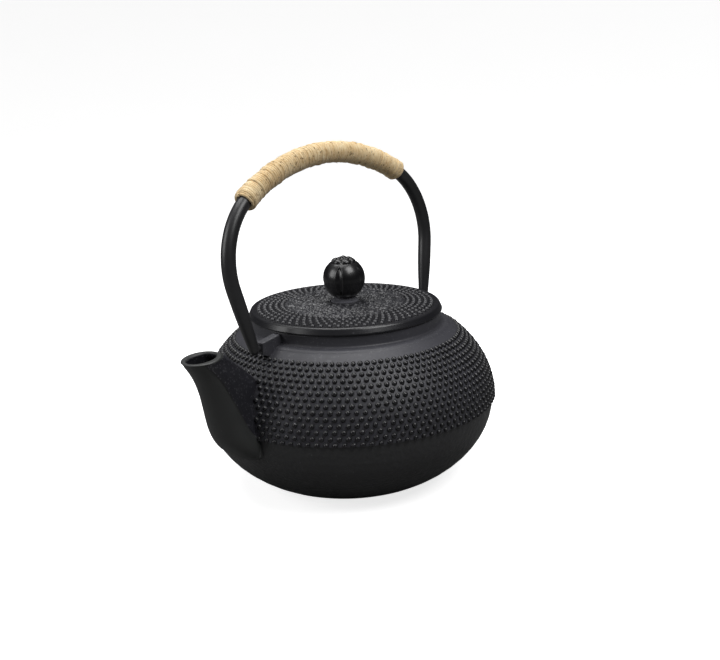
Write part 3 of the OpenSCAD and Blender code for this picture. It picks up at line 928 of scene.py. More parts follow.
        piece = make_piece("spout_casting", points, quads, smooth, Body.POT, Slot.POT_IRON, marks=marks)
        piece.data.materials.append(coarse)
        column = np.array([[i % columns for i in p.vertices] for p in piece.data.polygons])
        row = np.array([[i // columns for i in p.vertices] for p in piece.data.polygons])
        on_flank = ((column >= nose_n) & (column <= columns - nose_n)).all(1) & (row.max(1) < len(drops))
        height = np.array([p.center[2] for p in piece.data.polygons])
        on_flank &= height > self.belly_z
        bore = row.min(1) >= len(rings) - self.bore_rings
        piece.data.polygons.foreach_set("material_index", (on_flank | bore).astype(np.int32))
        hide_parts("spout")

    def add_lip(self, rings: list[np.ndarray], nose_n: int, flank_n: int) -> list[np.ndarray]:
        """Adds the rounded lip and the bore inside it to the stack of half rings.

        Args:
            rings: Half rings of the outside, from the bottom up.
            nose_n: Points on the nose of each ring.
            flank_n: Points on the flank of each ring.

        Returns:
            The whole stack.
        """
        count = nose_n + flank_n
        rim = self.cut_outline(0.0, 0.0)
        hole_x, hole_y, edge = 8.2 * MM, 6.3 * MM, 0.7 * MM
        tilt = math.tan(math.radians(self.lip_tilt))
        top = self.spread_along(rim, count)
        angle = np.arctan2(top[:, 1], top[:, 0] + self.lip_x)

        def oval(share: float, sink: float) -> np.ndarray:
            """A ring between the lip's outer circle and its hole."""
            rx, ry = self.lip_r + (hole_x - self.lip_r) * share, self.lip_r + (hole_y - self.lip_r) * share
            x = -self.lip_x + rx * np.cos(angle)
            return np.stack([x, ry * np.sin(angle), self.lip_z - sink + (x + self.lip_x) * tilt], 1)

        stack = list(rings)
        for part in (15, 40, 65, 90):
            a = math.radians(part)
            stack.append(oval((1 - math.cos(a)) * 0.22, edge * (1 - math.sin(a))))
        stack += [oval(0.5, -0.02 * MM), oval(0.78, 0.0)]
        for part in (90, 60, 30, 5):
            a = math.radians(part)
            stack.append(oval(1.0 - 0.2 * math.sin(a) * (part > 5), edge * (1 - math.sin(a))))
        outside = len(stack)
        for drop in np.concatenate([np.linspace(1.6, 9, 10), np.linspace(11, 47, 22)]) * MM:
            inner = self.spread_along(self.cut_outline(drop, self.wall), count)
            share = float(np.clip(1 - drop / (8 * MM), 0, 1))
            x_mid = (inner[:, 0].min() + inner[:, 0].max()) / 2
            wide, long = max(np.abs(inner[:, 1]).max(), MM), max(np.ptp(inner[:, 0]) / 2, MM)
            at = np.arctan2(inner[:, 1] / wide, (inner[:, 0] - x_mid) / long)
            hole = np.stack([-self.lip_x + hole_x * np.cos(at), hole_y * np.sin(at), inner[:, 2]], 1)
            stack.append(inner + (hole - inner) * share)
        self.bore_rings = len(stack) - outside + 1
        return stack

    def build_lugs(self, finish: bpy.types.Material) -> None:
        """Makes the rough, rounded lug on each side of the neck.

        Args:
            finish: The lugs' finish.
        """
        root = self.neck_r - 0.8 * MM
        low = float(self.surface_z(self.lug_foot)) - 1.2 * MM
        outline = [
            (root, low), (self.lug_foot, low), (self.lug_foot, low + 1.2 * MM), (self.lug_reach, self.lug_end_low),
            (self.lug_reach, self.lug_end_top), (self.neck_r + 2 * MM, self.lug_top), (root, self.lug_top),
        ]
        edge = self.round_outline(np.array(outline), 1.1 * MM, 96)
        middle = edge.mean(0)
        rings = []
        for turn in np.radians([0, 15, 30, 45, 60, 75, 90]):
            rings.append((self.lug_half - 0.8 * MM * (1 - math.sin(turn)), 0.8 * MM * (1 - math.cos(turn)), 1.0))
        flat = [(self.lug_half, 0.8 * MM, share) for share in (0.86, 0.72, 0.58, 0.44, 0.3, 0.16, 0.02)]
        side = [(y, inset, share) for y, inset, share in rings + flat]
        body = [(y, 0.0, 1.0) for y in np.linspace(-0.55, 0.55, 7) * self.lug_half]
        sections = [(-y, inset, share) for y, inset, share in side[::-1]] + body + side
        normal = np.gradient(np.vstack([edge[-1:], edge, edge[:1]]), axis=0)[1:-1]
        normal = np.stack([normal[:, 1], -normal[:, 0]], 1) / np.linalg.norm(normal, axis=1, keepdims=True)
        parts = []
        for way in (1, -1):
            points = []
            for y, inset, share in sections:
                ring = middle + (edge - normal * inset - middle) * share
                points.append(np.stack([ring[:, 0] * way, np.full(len(ring), y), ring[:, 1]], 1))
            every = np.concatenate(points)
            centre = np.array([middle[0] * way, 0.0, middle[1]])
            away = every - centre
            away /= np.linalg.norm(away, axis=1, keepdims=True)
            rough = ripple(every, 1.3 * MM, 3.0) * 0.14 * MM + ripple(every, 0.6 * MM, 4.0) * 0.06 * MM + 0.12 * MM
            parts.append((every + away * rough[:, None], grid_faces(len(sections), len(edge))))
        points, faces = join(parts)
        marks = {"crown": np.zeros(len(points))}
        piece = make_piece("bail_lugs", points, faces, finish, Body.POT, Slot.POT_IRON, marks=marks)
        tidy_seams(piece, 0.005 * MM)

    def surface_z(self, radius: float) -> float:
        """Height of the upper half's surface at a radius."""
        return self.belly_z + self.rise() * math.sqrt(1 - (radius / self.belly_r) ** 2)

    def round_outline(self, corners: np.ndarray, radius: float, count: int) -> np.ndarray:
        """Rounds the corners of a closed outline and spaces its points evenly.

        Args:
            corners: The outline's corners.
            radius: How far from a corner the rounding starts.
            count: Number of points in the result.

        Returns:
            The rounded outline.
        """
        points = []
        for k, corner in enumerate(corners):
            before, after = corners[k - 1], corners[(k + 1) % len(corners)]
            reach_in = min(radius, np.linalg.norm(before - corner) * 0.45)
            reach_out = min(radius, np.linalg.norm(after - corner) * 0.45)
            start = corner + (before - corner) / np.linalg.norm(before - corner) * reach_in
            end = corner + (after - corner) / np.linalg.norm(after - corner) * reach_out
            for t in np.linspace(0, 1, 9):
                points.append((1 - t) ** 2 * start + 2 * t * (1 - t) * corner + t * t * end)
        loop = np.array(points + [points[0]])
        run = np.concatenate([[0], np.cumsum(np.linalg.norm(np.diff(loop, axis=0), axis=1))])
        at = np.linspace(0, run[-1], count, endpoint=False)
        return np.stack([np.interp(at, run, loop[:, k]) for k in range(2)], 1)

    def build_neck(self, finish: bpy.types.Material) -> None:
        """Makes the neck's outer skin, with its rounded top edge and the fillet at its foot.

        Args:
            finish: The skin's finish.
        """
        profile = [
            (50.2, 95.70), (51.6, 95.80), (52.5, 95.82), (53.0, 95.72), (53.28, 95.45), (53.36, 95.1), (53.34, 94.0),
            (53.34, 92.0), (53.36, 90.6), (53.5, 90.0), (53.8, 89.6), (54.3, 89.38), (55.0, 89.28), (56.2, 89.06),
            (56.9, 88.9), (57.3, 88.72), (57.8, 88.36), (58.3, 87.9), (58.8, 87.35),
        ]
        points, quads = revolve([(r * MM, z * MM) for r, z in profile], 320)
        marks = {"crown": np.zeros(len(points))}
        make_piece("neck_skin", points, [q[::-1] for q in quads], finish, Body.POT, Slot.POT_IRON, marks=marks)


def tidy_seams(piece: bpy.types.Object, reach: float) -> None:
    """Welds points that lie together and turns every face outwards.

    Args:
        piece: The piece to tidy.
        reach: Distance under which two points become one.
    """
    work = bmesh.new()
    work.from_mesh(piece.data)
    bmesh.ops.remove_doubles(work, verts=work.verts, dist=reach)
    bmesh.ops.recalc_face_normals(work, faces=work.faces)
    work.to_mesh(piece.data)
    work.free()
    piece.data.update()


# ---------------------------------------------------------------- bail


@dataclass
class Bail:
    """The bail: a tapered iron rod on two pivot pins, and the jute wound round its crown."""

    pivot_z: float = 89.8 * MM
    tip_x: float = 70.6 * MM
    half_w: float = 79.1 * MM
    corner_r: float = 43.0 * MM
    leg_angle: float = 13.0
    crown_angle: float = 30.6
    lean: float = 7.0
    rod_r: float = 3.9 * MM
    tip_r: float = 2.7 * MM
    taper: float = 28.0 * MM
    pin_r: float = 1.6 * MM
    pin_end: float = 60.85 * MM
    wrap_half: float = 64.6 * MM
    wrap_shift: float = 1.4 * MM
    wrap_r: float = 6.1 * MM
    strand_pitch: float = 1.28 * MM
    reach: float = 0.0

    def stand(self, points: np.ndarray) -> np.ndarray:
        """Leans upright bail points back and lifts them to the pivot."""
        turn = np.array(Matrix.Rotation(math.radians(-self.lean), 3, "X"))
        return points @ turn.T + (0, 0, self.pivot_z)

    def centre_line(self, away: np.ndarray) -> np.ndarray:
        """The rod's centre line, upright, at distances from its middle.

        Args:
            away: Signed distance along the rod, positive towards +X.

        Returns:
            One point for each distance.
        """
        leg, crown = math.radians(self.leg_angle), math.radians(self.crown_angle)
        top_x = self.half_w - self.corner_r + self.corner_r * math.cos(leg)
        top_z = (top_x - self.tip_x) / math.tan(leg)
        corner_z = top_z + self.corner_r * math.sin(leg)
        crown_r = (self.half_w - self.corner_r) / math.sin(crown) + self.corner_r
        crown_z = corner_z - (crown_r - self.corner_r) * math.cos(crown)
        crown_l = crown_r * crown
        corner_l = self.corner_r * (math.pi / 2 - crown + leg)
        side, d = np.sign(away), np.abs(away)
        a = math.pi / 2 - d / crown_r
        x, z = crown_r * np.cos(a), crown_z + crown_r * np.sin(a)
        b = math.pi / 2 - crown - (d - crown_l) / self.corner_r
        over = d > crown_l
        x = np.where(over, self.half_w - self.corner_r + self.corner_r * np.cos(b), x)
        z = np.where(over, corner_z + self.corner_r * np.sin(b), z)
        e = d - crown_l - corner_l
        low = e > 0
        x = np.where(low, top_x - e * math.sin(leg), x)
        z = np.where(low, top_z - e * math.cos(leg), z)
        self.reach = crown_l + corner_l + top_z / math.cos(leg)
        return np.stack([np.where(side == 0, 0, side) * x, np.zeros_like(x), z], 1)

    def build(self, iron: bpy.types.Material, jute: bpy.types.Material) -> None:
        """Makes and dresses the rod, its pins and the winding."""
        self.build_rod(iron)
        self.build_winding(jute)
        self.build_fibres(jute)

    def build_rod(self, finish: bpy.types.Material) -> None:
        """Makes the rod with its tapered, rounded ends and the pins that enter the lugs.

        Args:
            finish: The rod's finish.
        """
        self.centre_line(np.zeros(1))
        body = np.linspace(-self.reach, self.reach, 230)
        ease = self.reach - np.abs(body)
        swell = np.sin(np.pi / 2 * np.clip(ease / self.taper, 0, 1))
        radii = np.where(ease < self.taper, self.tip_r + (self.rod_r - self.tip_r) * swell, self.rod_r)
        path = self.centre_line(body)
        cap = np.array([0.99, 0.93, 0.8, 0.6, 0.38, 0.18])
        down = path[0] - path[1]
        down /= np.linalg.norm(down)
        start = [path[0] + down * self.tip_r * c for c in cap]
        end = [p * (-1, 1, 1) for p in start[::-1]]
        cap_r = self.tip_r * np.sqrt(1 - cap**2)
        path = np.concatenate([start, path, end])
        radii = np.concatenate([cap_r, radii, cap_r[::-1]])
        points, quads, _ = sweep(path, radii, 36)
        parts = [(points, list(quads) + [list(range(35, -1, -1)), [len(points) - 36 + i for i in range(36)]])]
        for side in (1, -1):
            xs = np.array([self.tip_x, self.pin_end + 0.5 * MM, self.pin_end, self.pin_end]) * side
            rs = np.array([1, 1, 0.8, 0.01]) * self.pin_r
            pin, pin_quads, _ = sweep(np.stack([xs + np.array([0, 0, 0, -1e-5]) * side, 0 * xs, 0 * xs], 1), rs, 20)
            parts.append((pin, pin_quads))
        every, faces = join(parts)
        piece = make_piece("bail_iron_rod", self.stand(every), faces, finish, Body.BAIL, Slot.BAIL_IRON)
        tidy_seams(piece, 1e-6)
        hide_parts("bail_rod")

    def wound(self, turn: np.ndarray, radius: np.ndarray, away: np.ndarray) -> np.ndarray:
        """Points that wind round the rod.

        Args:
            turn: Angle round the rod.
            radius: Distance from its centre line.
            away: Distance along it.

        Returns:
            The points, upright.
        """
        step = 0.05 * MM
        centre = self.centre_line(away)
        ahead = self.centre_line(away + step) - self.centre_line(away - step)
        ahead /= np.linalg.norm(ahead, axis=1, keepdims=True)
        side = np.array([0.0, 1.0, 0.0])
        up = np.cross(ahead, side)
        return centre + radius[:, None] * (np.cos(turn)[:, None] * up + np.sin(turn)[:, None] * side)

    def build_winding(self, finish: bpy.types.Material) -> None:
        """Winds the jute in close turns, with crossed turns that lock each end.

        Args:
            finish: The jute.
        """
        half, per_turn = self.wrap_half - 0.9 * MM, 26
        turns = int(2 * half / self.strand_pitch)
        rng = np.random.default_rng(5)
        t = np.linspace(0, turns, turns * per_turn)
        wobble = np.interp(t, np.arange(turns + 1), rng.normal(0, 0.16, turns + 1)) * MM
        lift = np.interp(t, np.arange(turns + 1), rng.normal(0, 0.16, turns + 1)) * MM
        lift += np.interp(t * 3, np.arange(3 * turns + 1), rng.normal(0, 0.05, 3 * turns + 1)) * MM
        fat = 1 + np.interp(t * 2, np.arange(2 * turns + 1), rng.normal(0, 0.13, 2 * turns + 1))
        away = -half + 2 * half * t / turns + wobble + self.wrap_shift * -1
        thick = 0.74 * MM
        coil = self.wound(TURN * t, self.wrap_r - thick + lift - 0.1 * MM, away)
        parts, places = [], []
        for path, radii, flat in self.strands(coil, thick * fat, half, rng):
            points, quads, uv = sweep(path, radii, 8, flat)
            caps = [list(range(7, -1, -1)), [len(points) - 8 + i for i in range(8)]]
            parts.append((points, list(quads) + caps))
            places.append(uv)
        every, faces = join(parts)
        uv = np.concatenate(places)
        piece = make_piece("jute_winding", self.stand(every), faces, finish, Body.BAIL, Slot.JUTE, uv=uv)
        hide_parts("grip_wrap")

    def strands(
        self, coil: np.ndarray, radii: np.ndarray, half: float, rng: np.random.Generator
    ) -> Iterable[tuple[np.ndarray, np.ndarray, float]]:
        """Lists the strands of the winding.

        Args:
            coil: Path of the long coil.
            radii: Its thickness at each point.
            half: Half the length that it covers.
            rng: Source of the hand-made unevenness.

        Returns:
            Path, radii and flatness of each strand.
        """
        yield coil, radii, 1.0
        for side in (-1, 1):
            t = np.linspace(0, 7, 190)
            slant = 1.5 * MM * np.sin(TURN * t + 0.7)
            away = side * (half - 4.4 * MM + 0.62 * MM * t) + slant * 0.8 - self.wrap_shift
            rise = np.interp(t, np.arange(8), rng.normal(0.15, 0.1, 8)) * MM
            yield self.wound(TURN * t * side, self.wrap_r - 0.65 * MM + rise, away), np.full(190, 0.62 * MM), 1.0
        for side in (-1, 1):
            t = np.linspace(0, 4, 120)
            away = side * (half - 2.6 * MM + 0.8 * MM * t) - self.wrap_shift
            yield self.wound(TURN * t * side, np.full(120, self.rod_r + 0.75 * MM), away), np.full(120, 0.8 * MM), 1.0
        t = np.linspace(0, 1, 24)
        start = self.wrap_half - self.wrap_shift - 9.5 * MM
        away = start + 14.0 * MM * t
        swing = 0.5 * math.pi * 2.62 + 0.35 * t
        lift = self.wrap_r + 0.25 * MM + 2.2 * MM * t**2 - 0.8 * MM * np.sin(t * 9) * t * 0.3
        yield self.wound(-swing, lift, away), (0.26 - 0.16 * t) * MM, 1.0

    def build_fibres(self, finish: bpy.types.Material) -> None:
        """Makes the short loose hairs that stand off the winding.

        Args:
            finish: The jute.
        """
        rng = np.random.default_rng(23)
        parts, places = [], []
        for _ in range(260):
            away = rng.uniform(-self.wrap_half, self.wrap_half) * 0.97 - self.wrap_shift
            turn, length = rng.uniform(0, TURN), rng.uniform(1.5, 4.5) * MM
            t = np.linspace(0, 1, 6)
            round_it = turn + rng.choice([-1, 1]) * t * length / self.wrap_r
            lift = self.wrap_r - 0.25 * MM + t**2 * rng.uniform(0.1, 1.3) * MM
            path = self.wound(round_it, lift, away + t * rng.normal(0, 0.8) * MM)
            points, quads, uv = sweep(path, (0.055 - 0.04 * t) * MM, 4)
            parts.append((points, quads))
            places.append(uv)
        every, faces = join(parts)
        make_piece("jute_hairs", self.stand(every), faces, finish, Body.BAIL, Slot.JUTE, uv=np.concatenate(places))


# ---------------------------------------------------------------- lid and knob


@dataclass
class Lid:
    """The lid's face: rings of studs inside a plain rim, and a crumpled middle."""

    rim_z: float = 99.4 * MM
    crown: float = 2.0 * MM
    top_r: float = 53.0 * MM
    flat_r: float = 8.9 * MM
    outer_ring: float = 48.6 * MM
    ring_step: float = 3.3 * MM
    rings: int = 5
    studs_per_ring: int = 66
    crumple_r: float = 34.6 * MM

    def surface(self, r: np.ndarray) -> np.ndarray:
        """Height of the lid's top at each radius."""
        share = np.clip((r - self.flat_r) / (self.top_r - self.flat_r), 0, 1)
        return self.rim_z + self.crown * (1 - share**2)

    def build(self, finish: bpy.types.Material, plain: bpy.types.Material) -> None:
        """Makes and dresses the lid's face.

        Args:
            finish: Finish of the studs and the crumpled middle.
            plain: Finish of the lid itself.
        """
        for node in ("lid_plate", "lid_skirt"):
            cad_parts[node].data.materials[0] = plain
        self.build_studs(finish)
        self.build_crumple(finish)
        self.build_rim(plain)

    def build_studs(self, finish: bpy.types.Material) -> None:
        """Makes the rings of studs.

        Args:
            finish: The studs' finish.
        """
        rng = np.random.default_rng(31)
        feet, across, along, out, sizes = [], [], [], [], []
        for ring in range(self.rings):
            radius = self.outer_ring - ring * self.ring_step
            height = float(self.surface(np.array(radius)))
            fall = float(self.surface(np.array(radius + 0.1 * MM))) - height
            lean = np.array([0.1 * MM, fall]) / math.hypot(0.1 * MM, fall)
            width = min(1.45 * MM, 0.38 * TURN * radius / self.studs_per_ring)
            for k in range(self.studs_per_ring):
                a = TURN * (k + 0.5 * (ring % 2) + rng.normal(0, 0.015)) / self.studs_per_ring
                sway = rng.normal(0, 0.05, 3)
                feet.append((radius * math.cos(a), radius * math.sin(a), height))
                across.append((-math.sin(a), math.cos(a), 0))
                along.append((lean[0] * math.cos(a), lean[0] * math.sin(a), lean[1]))
                out.append((-lean[1] * math.cos(a), -lean[1] * math.sin(a), lean[0]))
                sizes.append((width * (1 + sway[0]), 1.5 * MM * (1 + sway[1]), 0.75 * (1 + sway[2])))
        points, faces, crown = set_studs(Stud(), *map(np.array, (feet, across, along, out, sizes)))
        faces = [f[::-1] for f in faces]
        make_piece("lid_studs", points, faces, finish, Body.LID, Slot.LID_IRON, marks={"crown": crown})

    def build_crumple(self, finish: bpy.types.Material) -> None:
        """Makes the thin crumpled face inside the rings of studs.

        Args:
            finish: The face's finish.
        """
        sides, rows, inner_r = 420, 84, 7.4 * MM
        rs = np.linspace(inner_r, self.crumple_r, rows)
        a = TURN * np.arange(sides) / sides
        r, a = np.meshgrid(rs, a, indexing="ij")
        flat = np.stack([r.ravel() * np.cos(a.ravel()), r.ravel() * np.sin(a.ravel()), np.zeros(r.size)], 1)
        lumps = ripple(flat, 1.5 * MM, 1.0) + 0.6 * ripple(flat, 0.8 * MM, 2.0)
        lumps = np.clip(lumps * 1.6, -1, 1) * 0.5 + 0.5
        far = r.ravel()
        edge = np.clip((self.crumple_r - far) / (1.2 * MM), 0, 1) * np.clip((far - inner_r) / (1.0 * MM), 0, 1)
        flat[:, 2] = self.surface(far) - 0.10 * MM + (0.12 * MM + 0.85 * MM * lumps) * edge
        faces = [f[::-1] for f in grid_faces(rows, sides)]
        make_piece("lid_crumpled_face", flat, faces, finish, Body.LID, Slot.LID_IRON, marks={"crown": lumps * edge})

    def build_rim(self, finish: bpy.types.Material) -> None:
        """Makes the rounded edge of the lid's rim, and the fine bead under it.

        Args:
            finish: The rim's finish.
        """
        profile = [
            (50.6, 99.42), (51.0, 99.72), (51.6, 99.86), (52.2, 99.84), (52.8, 99.62), (53.2, 99.2),
            (53.45, 98.7), (54.25, 96.85), (54.42, 96.5), (54.38, 96.2), (54.1, 96.02), (53.7, 95.98), (53.0, 96.05),
        ]
        points, quads = revolve([(r * MM, z * MM) for r, z in profile], 256)
        faces = [q[::-1] for q in quads]
        make_piece("lid_rim_edge", points, faces, finish, Body.LID, Slot.LID_IRON)


@dataclass
class Knob:
    """The lacquered knob: a ball with five leaf-shaped flutes and a flower on top, on a flared collar."""

    radius: float = 11.8 * MM
    centre_z: float = 114.67 * MM
    flat_r: float = 4.6 * MM
    collar_r: float = 7.9 * MM
    collar_z: float = 101.4 * MM
    collar_h: float = 2.4 * MM
    flutes: int = 5
    first_flute: float = -151.0
    petals: int = 6

    def build(self, lacquer: bpy.types.Material, satin: bpy.types.Material) -> None:
        """Makes and dresses the ball and its collar."""
        self.build_ball(lacquer)
        self.build_collar(satin)

    def relief(self, down: np.ndarray, turn: np.ndarray) -> np.ndarray:
        """Height of the carving at each place on the ball.

        Args:
            down: Angle down from the top, in degrees.
            turn: Angle round, in degrees.

        Returns:
            Height above the plain ball, in millimetres.
        """
        step = 360 / self.flutes
        off = (turn - self.first_flute + step / 2) % step - step / 2
        along = (down - 90) / 42
        half = 10.5 * np.sqrt(np.clip(1 - along**2, 0, 1)) ** 1.4
        sideways = np.abs(off) * np.sin(np.radians(down))
        inside = np.clip(1 - sideways / np.maximum(half, 0.01), 0, 1) * (np.abs(along) < 1)
        cut = -0.85 * np.sqrt(inside) * (half > 0.4)
        rib = 0.10 * np.exp(-(((sideways - half) / 1.2) ** 2)) * (np.abs(along) < 0.97)
        seam = -0.05 * np.exp(-(((down - 90) / 0.8) ** 2)) * (inside <= 0)
        leaf = 360 / self.petals
        flower = np.zeros_like(down)
        for middle, spread, height, shift in ((26.0, 11.0, 1.25, 0.0), (15.5, 6.5, 1.0, leaf / 2)):
            wing = (turn + shift + leaf / 2) % leaf - leaf / 2
            across = wing * np.sin(np.radians(middle))
            near = ((down - middle) / spread) ** 2 + (across / (leaf * 0.5 * math.sin(math.radians(middle)))) ** 2
            flower = np.maximum(flower, height * np.sqrt(np.clip(1 - near, 0, 1)))
        bead = 1.6 * np.sqrt(np.clip(1 - (down / 9.5) ** 2, 0, 1))
        flower = np.maximum(flower, bead) - 0.55 * np.clip((38 - down) / 1.5, 0, 1)
        ring = -0.25 * np.exp(-(((down - 38) / 1.8) ** 2))
        return cut + rib + seam + flower + ring

    def build_ball(self, finish: bpy.types.Material) -> None:
        """Makes the carved ball.

        Args:
            finish: The lacquer.
        """
        rows, sides = 220, 360
        last = math.degrees(math.pi - math.asin(self.flat_r / self.radius))
        down, turn = np.meshgrid(np.linspace(0.3, last, rows), 360 * np.arange(sides) / sides, indexing="ij")
        down, turn = down.ravel(), turn.ravel()
        r = self.radius + self.relief(down, turn) * MM * (down < 150)
        a, b = np.radians(down), np.radians(turn)
        points = np.stack([r * np.sin(a) * np.cos(b), r * np.sin(a) * np.sin(b), self.centre_z + r * np.cos(a)], 1)
        quads = [list(q[::-1]) for q in grid_faces(rows, sides)]
        quads += [list(range(sides)), [(rows - 1) * sides + i for i in range(sides - 1, -1, -1)]]
        piece = make_piece("knob_carved_ball", points, quads, finish, Body.LID, Slot.LACQUER)
        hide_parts("knob_ball")

    def build_collar(self, finish: bpy.types.Material) -> None:
        """Makes the flared collar between the ball and the lid."""
        r, h = self.collar_r, self.collar_h
        outline = [(r, 0), (r, 0.12), (r - 0.0001, 0.26), (r - 0.0004, 0.36), (r - 0.0010, 0.46), (r - 0.0016, 0.60),
                   (r - 0.0021, 0.78), (r - 0.0022, 1.0), (r - 0.0028, 1.12), (r - 0.0040, 1.14)]
        points, quads = revolve([(x, self.collar_z + y * h) for x, y in outline], 128)
        make_piece("knob_flared_collar", points, [q[::-1] for q in quads], finish, Body.LID, Slot.LACQUER)


# ---------------------------------------------------------------- infuser


@dataclass
class Infuser:
    """The steel basket: a pierced tube between plain bands, under a rolled rim."""

    tube_r: float = 45.0 * MM
    sheet: float = 0.6 * MM
    top_band: float = 8.4 * MM
    low_band: float = 4.2 * MM
    around: int = 128
    hole_share: float = 0.54

    def build(self, steel: bpy.types.Material) -> None:
        """Makes the pierced tube and dresses the rim and the base."""
        for node in ("infuser_rim", "infuser_base"):
            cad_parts[node].data.materials[0] = steel
        low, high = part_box("infuser_tube")
        self.build_tube(steel, low[2], high[2])

    def build_tube(self, finish: bpy.types.Material, low: float, high: float) -> None:
        """Makes the tube with its staggered rows of round holes.

        Args:
            finish: The steel.
            low: Height of the tube's lower edge.
            high: Height of its upper edge.
        """
        pitch = TURN * self.tube_r / self.around
        start, end = low + self.low_band, high - self.top_band
        rows = int(round((end - start) / pitch))
        step = (end - start) / rows
        square = np.array([(1, 0), (1, 1), (0, 1), (-1, 1), (-1, 0), (-1, -1), (0, -1), (1, -1)]) / 2
        a = TURN * np.arange(8) / 8
        hole = np.stack([np.cos(a), np.sin(a)], 1) * self.hole_share / 2
        parts = []
        for row in range(rows):
            for k in range(self.around):
                middle = np.array([k + 0.5 * (row % 2), row + 0.5])
                flat = np.concatenate([square + middle, hole + middle])
                round_it = TURN * flat[:, 0] / self.around
                height = start + flat[:, 1] * step
                radii = (self.tube_r, self.tube_r - self.sheet)
                shells = [np.stack([r * np.cos(round_it), r * np.sin(round_it), height], 1) for r in radii]
                faces = []
                for j in range(8):
                    n = (j + 1) % 8
                    faces += [[j, n, 8 + n, 8 + j], [8 + j, 8 + n, 24 + n, 24 + j], [16 + n, 16 + j, 24 + j, 24 + n]]
                parts.append((np.concatenate(shells), faces))
        for z0, z1 in ((low, start), (end, high)):
            inner, outer = self.tube_r - self.sheet, self.tube_r
            outline = [(inner, z0), (outer, z0), (outer, z1), (inner, z1), (inner, z0)]
            parts.append(revolve(outline, self.around * 2))
        points, faces = join(parts)
        piece = make_piece("infuser_pierced_tube", points, faces, finish, Body.INFUSER, Slot.INFUSER)
        tidy_seams(piece, 0.02 * MM)
        piece.data.polygons.foreach_set("use_smooth", np.zeros(len(piece.data.polygons), bool))
        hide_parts("infuser_tube")


# ---------------------------------------------------------------- studio


@dataclass
class Studio:
    """A pale floor that curves up all round, soft lamps and the camera."""

    floor_r: float = 1.5
    wall_r: float = 2.6
    wall_h: float = 1.3
    camera_place: tuple[float, float, float] = (-0.42165, -0.39241, 0.24241)
    forward: tuple[float, float, float] = (0.7146, 0.6473, -0.2651)
    upward: tuple[float, float, float] = (0.2234, 0.1479, 0.9634)
    lens: float = 52.647

    def build(self, board: bpy.types.Material) -> None:
        """Sets up the floor, the light and the camera."""
        self.build_camera()
        self.build_floor(board)
        self.build_light()

    def build_camera(self) -> None:
        """Places the camera."""
        data = bpy.data.cameras.new("view")
        data.lens, data.sensor_width = self.lens, 36.0
        data.clip_start, data.clip_end = 0.01, 20.0
        camera = bpy.data.objects.new("view", data)
        ahead = Vector(self.forward).normalized()
        right = ahead.cross(Vector(self.upward)).normalized()
        up = right.cross(ahead)
        turn = Matrix((right, up, -ahead)).transposed().to_4x4()
        camera.matrix_world = Matrix.Translation(self.camera_place) @ turn
        bpy.context.scene.collection.objects.link(camera)
        bpy.context.scene.camera = camera

    def build_floor(self, board: bpy.types.Material) -> None:
        """Makes the floor and the curved wall that it rises into.

        Args:
            board: The floor's finish.
        """
        depth = self.wall_r - self.floor_r
        turns = np.linspace(0, math.pi / 2, 24)
        bend = [(self.floor_r + depth * math.sin(t), self.wall_h * (1 - math.cos(t))) for t in turns]
        flat = [(r, 0.0) for r in (0.02, 0.2, 0.5, 0.9, 1.25)]
        points, quads = revolve(flat + bend, 96)
        mesh = bpy.data.meshes.new("studio_floor")
        mesh.from_pydata(points.tolist(), [], [list(map(int, q)) for q in quads] + [list(range(95, -1, -1))])
        mesh.polygons.foreach_set("use_smooth", np.ones(len(mesh.polygons), bool))
        mesh.materials.append(board)
        floor = bpy.data.objects.new("studio_floor", mesh)
        bpy.context.scene.collection.objects.link(floor)
        floor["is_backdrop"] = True

    def lamp(self, name: str, place: tuple[float, float, float], size: float, power: float) -> None:
        """Hangs a square softbox that faces the pot.

        Args:
            name: Its name.
            place: Its position.
            size: Length of its side.
            power: Its power in watts.
        """
        data = bpy.data.lights.new(name, "AREA")
        data.shape, data.size, data.energy = "SQUARE", size, power
        lamp = bpy.data.objects.new(name, data)
        lamp.location = place
        aim = Vector((0, 0, 0.08)) - Vector(place)
        lamp.rotation_mode = "QUATERNION"
        lamp.rotation_quaternion = aim.to_track_quat("-Z", "Y")
        bpy.context.scene.collection.objects.link(lamp)

    def build_light(self) -> None:
        """Sets the sky's soft light and hangs the lamps."""
        world = bpy.data.worlds.new("studio_sky")
        world.use_nodes = True
        sky = world.node_tree.nodes["Background"]
        sky.inputs[0].default_value = (1.0, 1.0, 1.0, 1.0)
        sky.inputs[1].default_value = 0.12
        bpy.context.scene.world = world
        bpy.context.scene.view_settings.view_transform = "Standard"
        self.lamp("key_softbox", (0.02, -0.72, 0.98), 0.62, 7.5)
        self.lamp("left_softbox", (-0.85, 0.50, 0.58), 0.6, 4.5)
        self.lamp("top_softbox", (0.05, 0.25, 1.15), 0.9, 11.0)


# ---------------------------------------------------------------- whole teapot


def dress_fasteners(steel: bpy.types.Material) -> None:
    """Gives the knob's screw and washers their steel."""
    for node in ("knob_screw", "spring_washer", "flat_washer"):
        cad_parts[node].data.materials[0] = steel


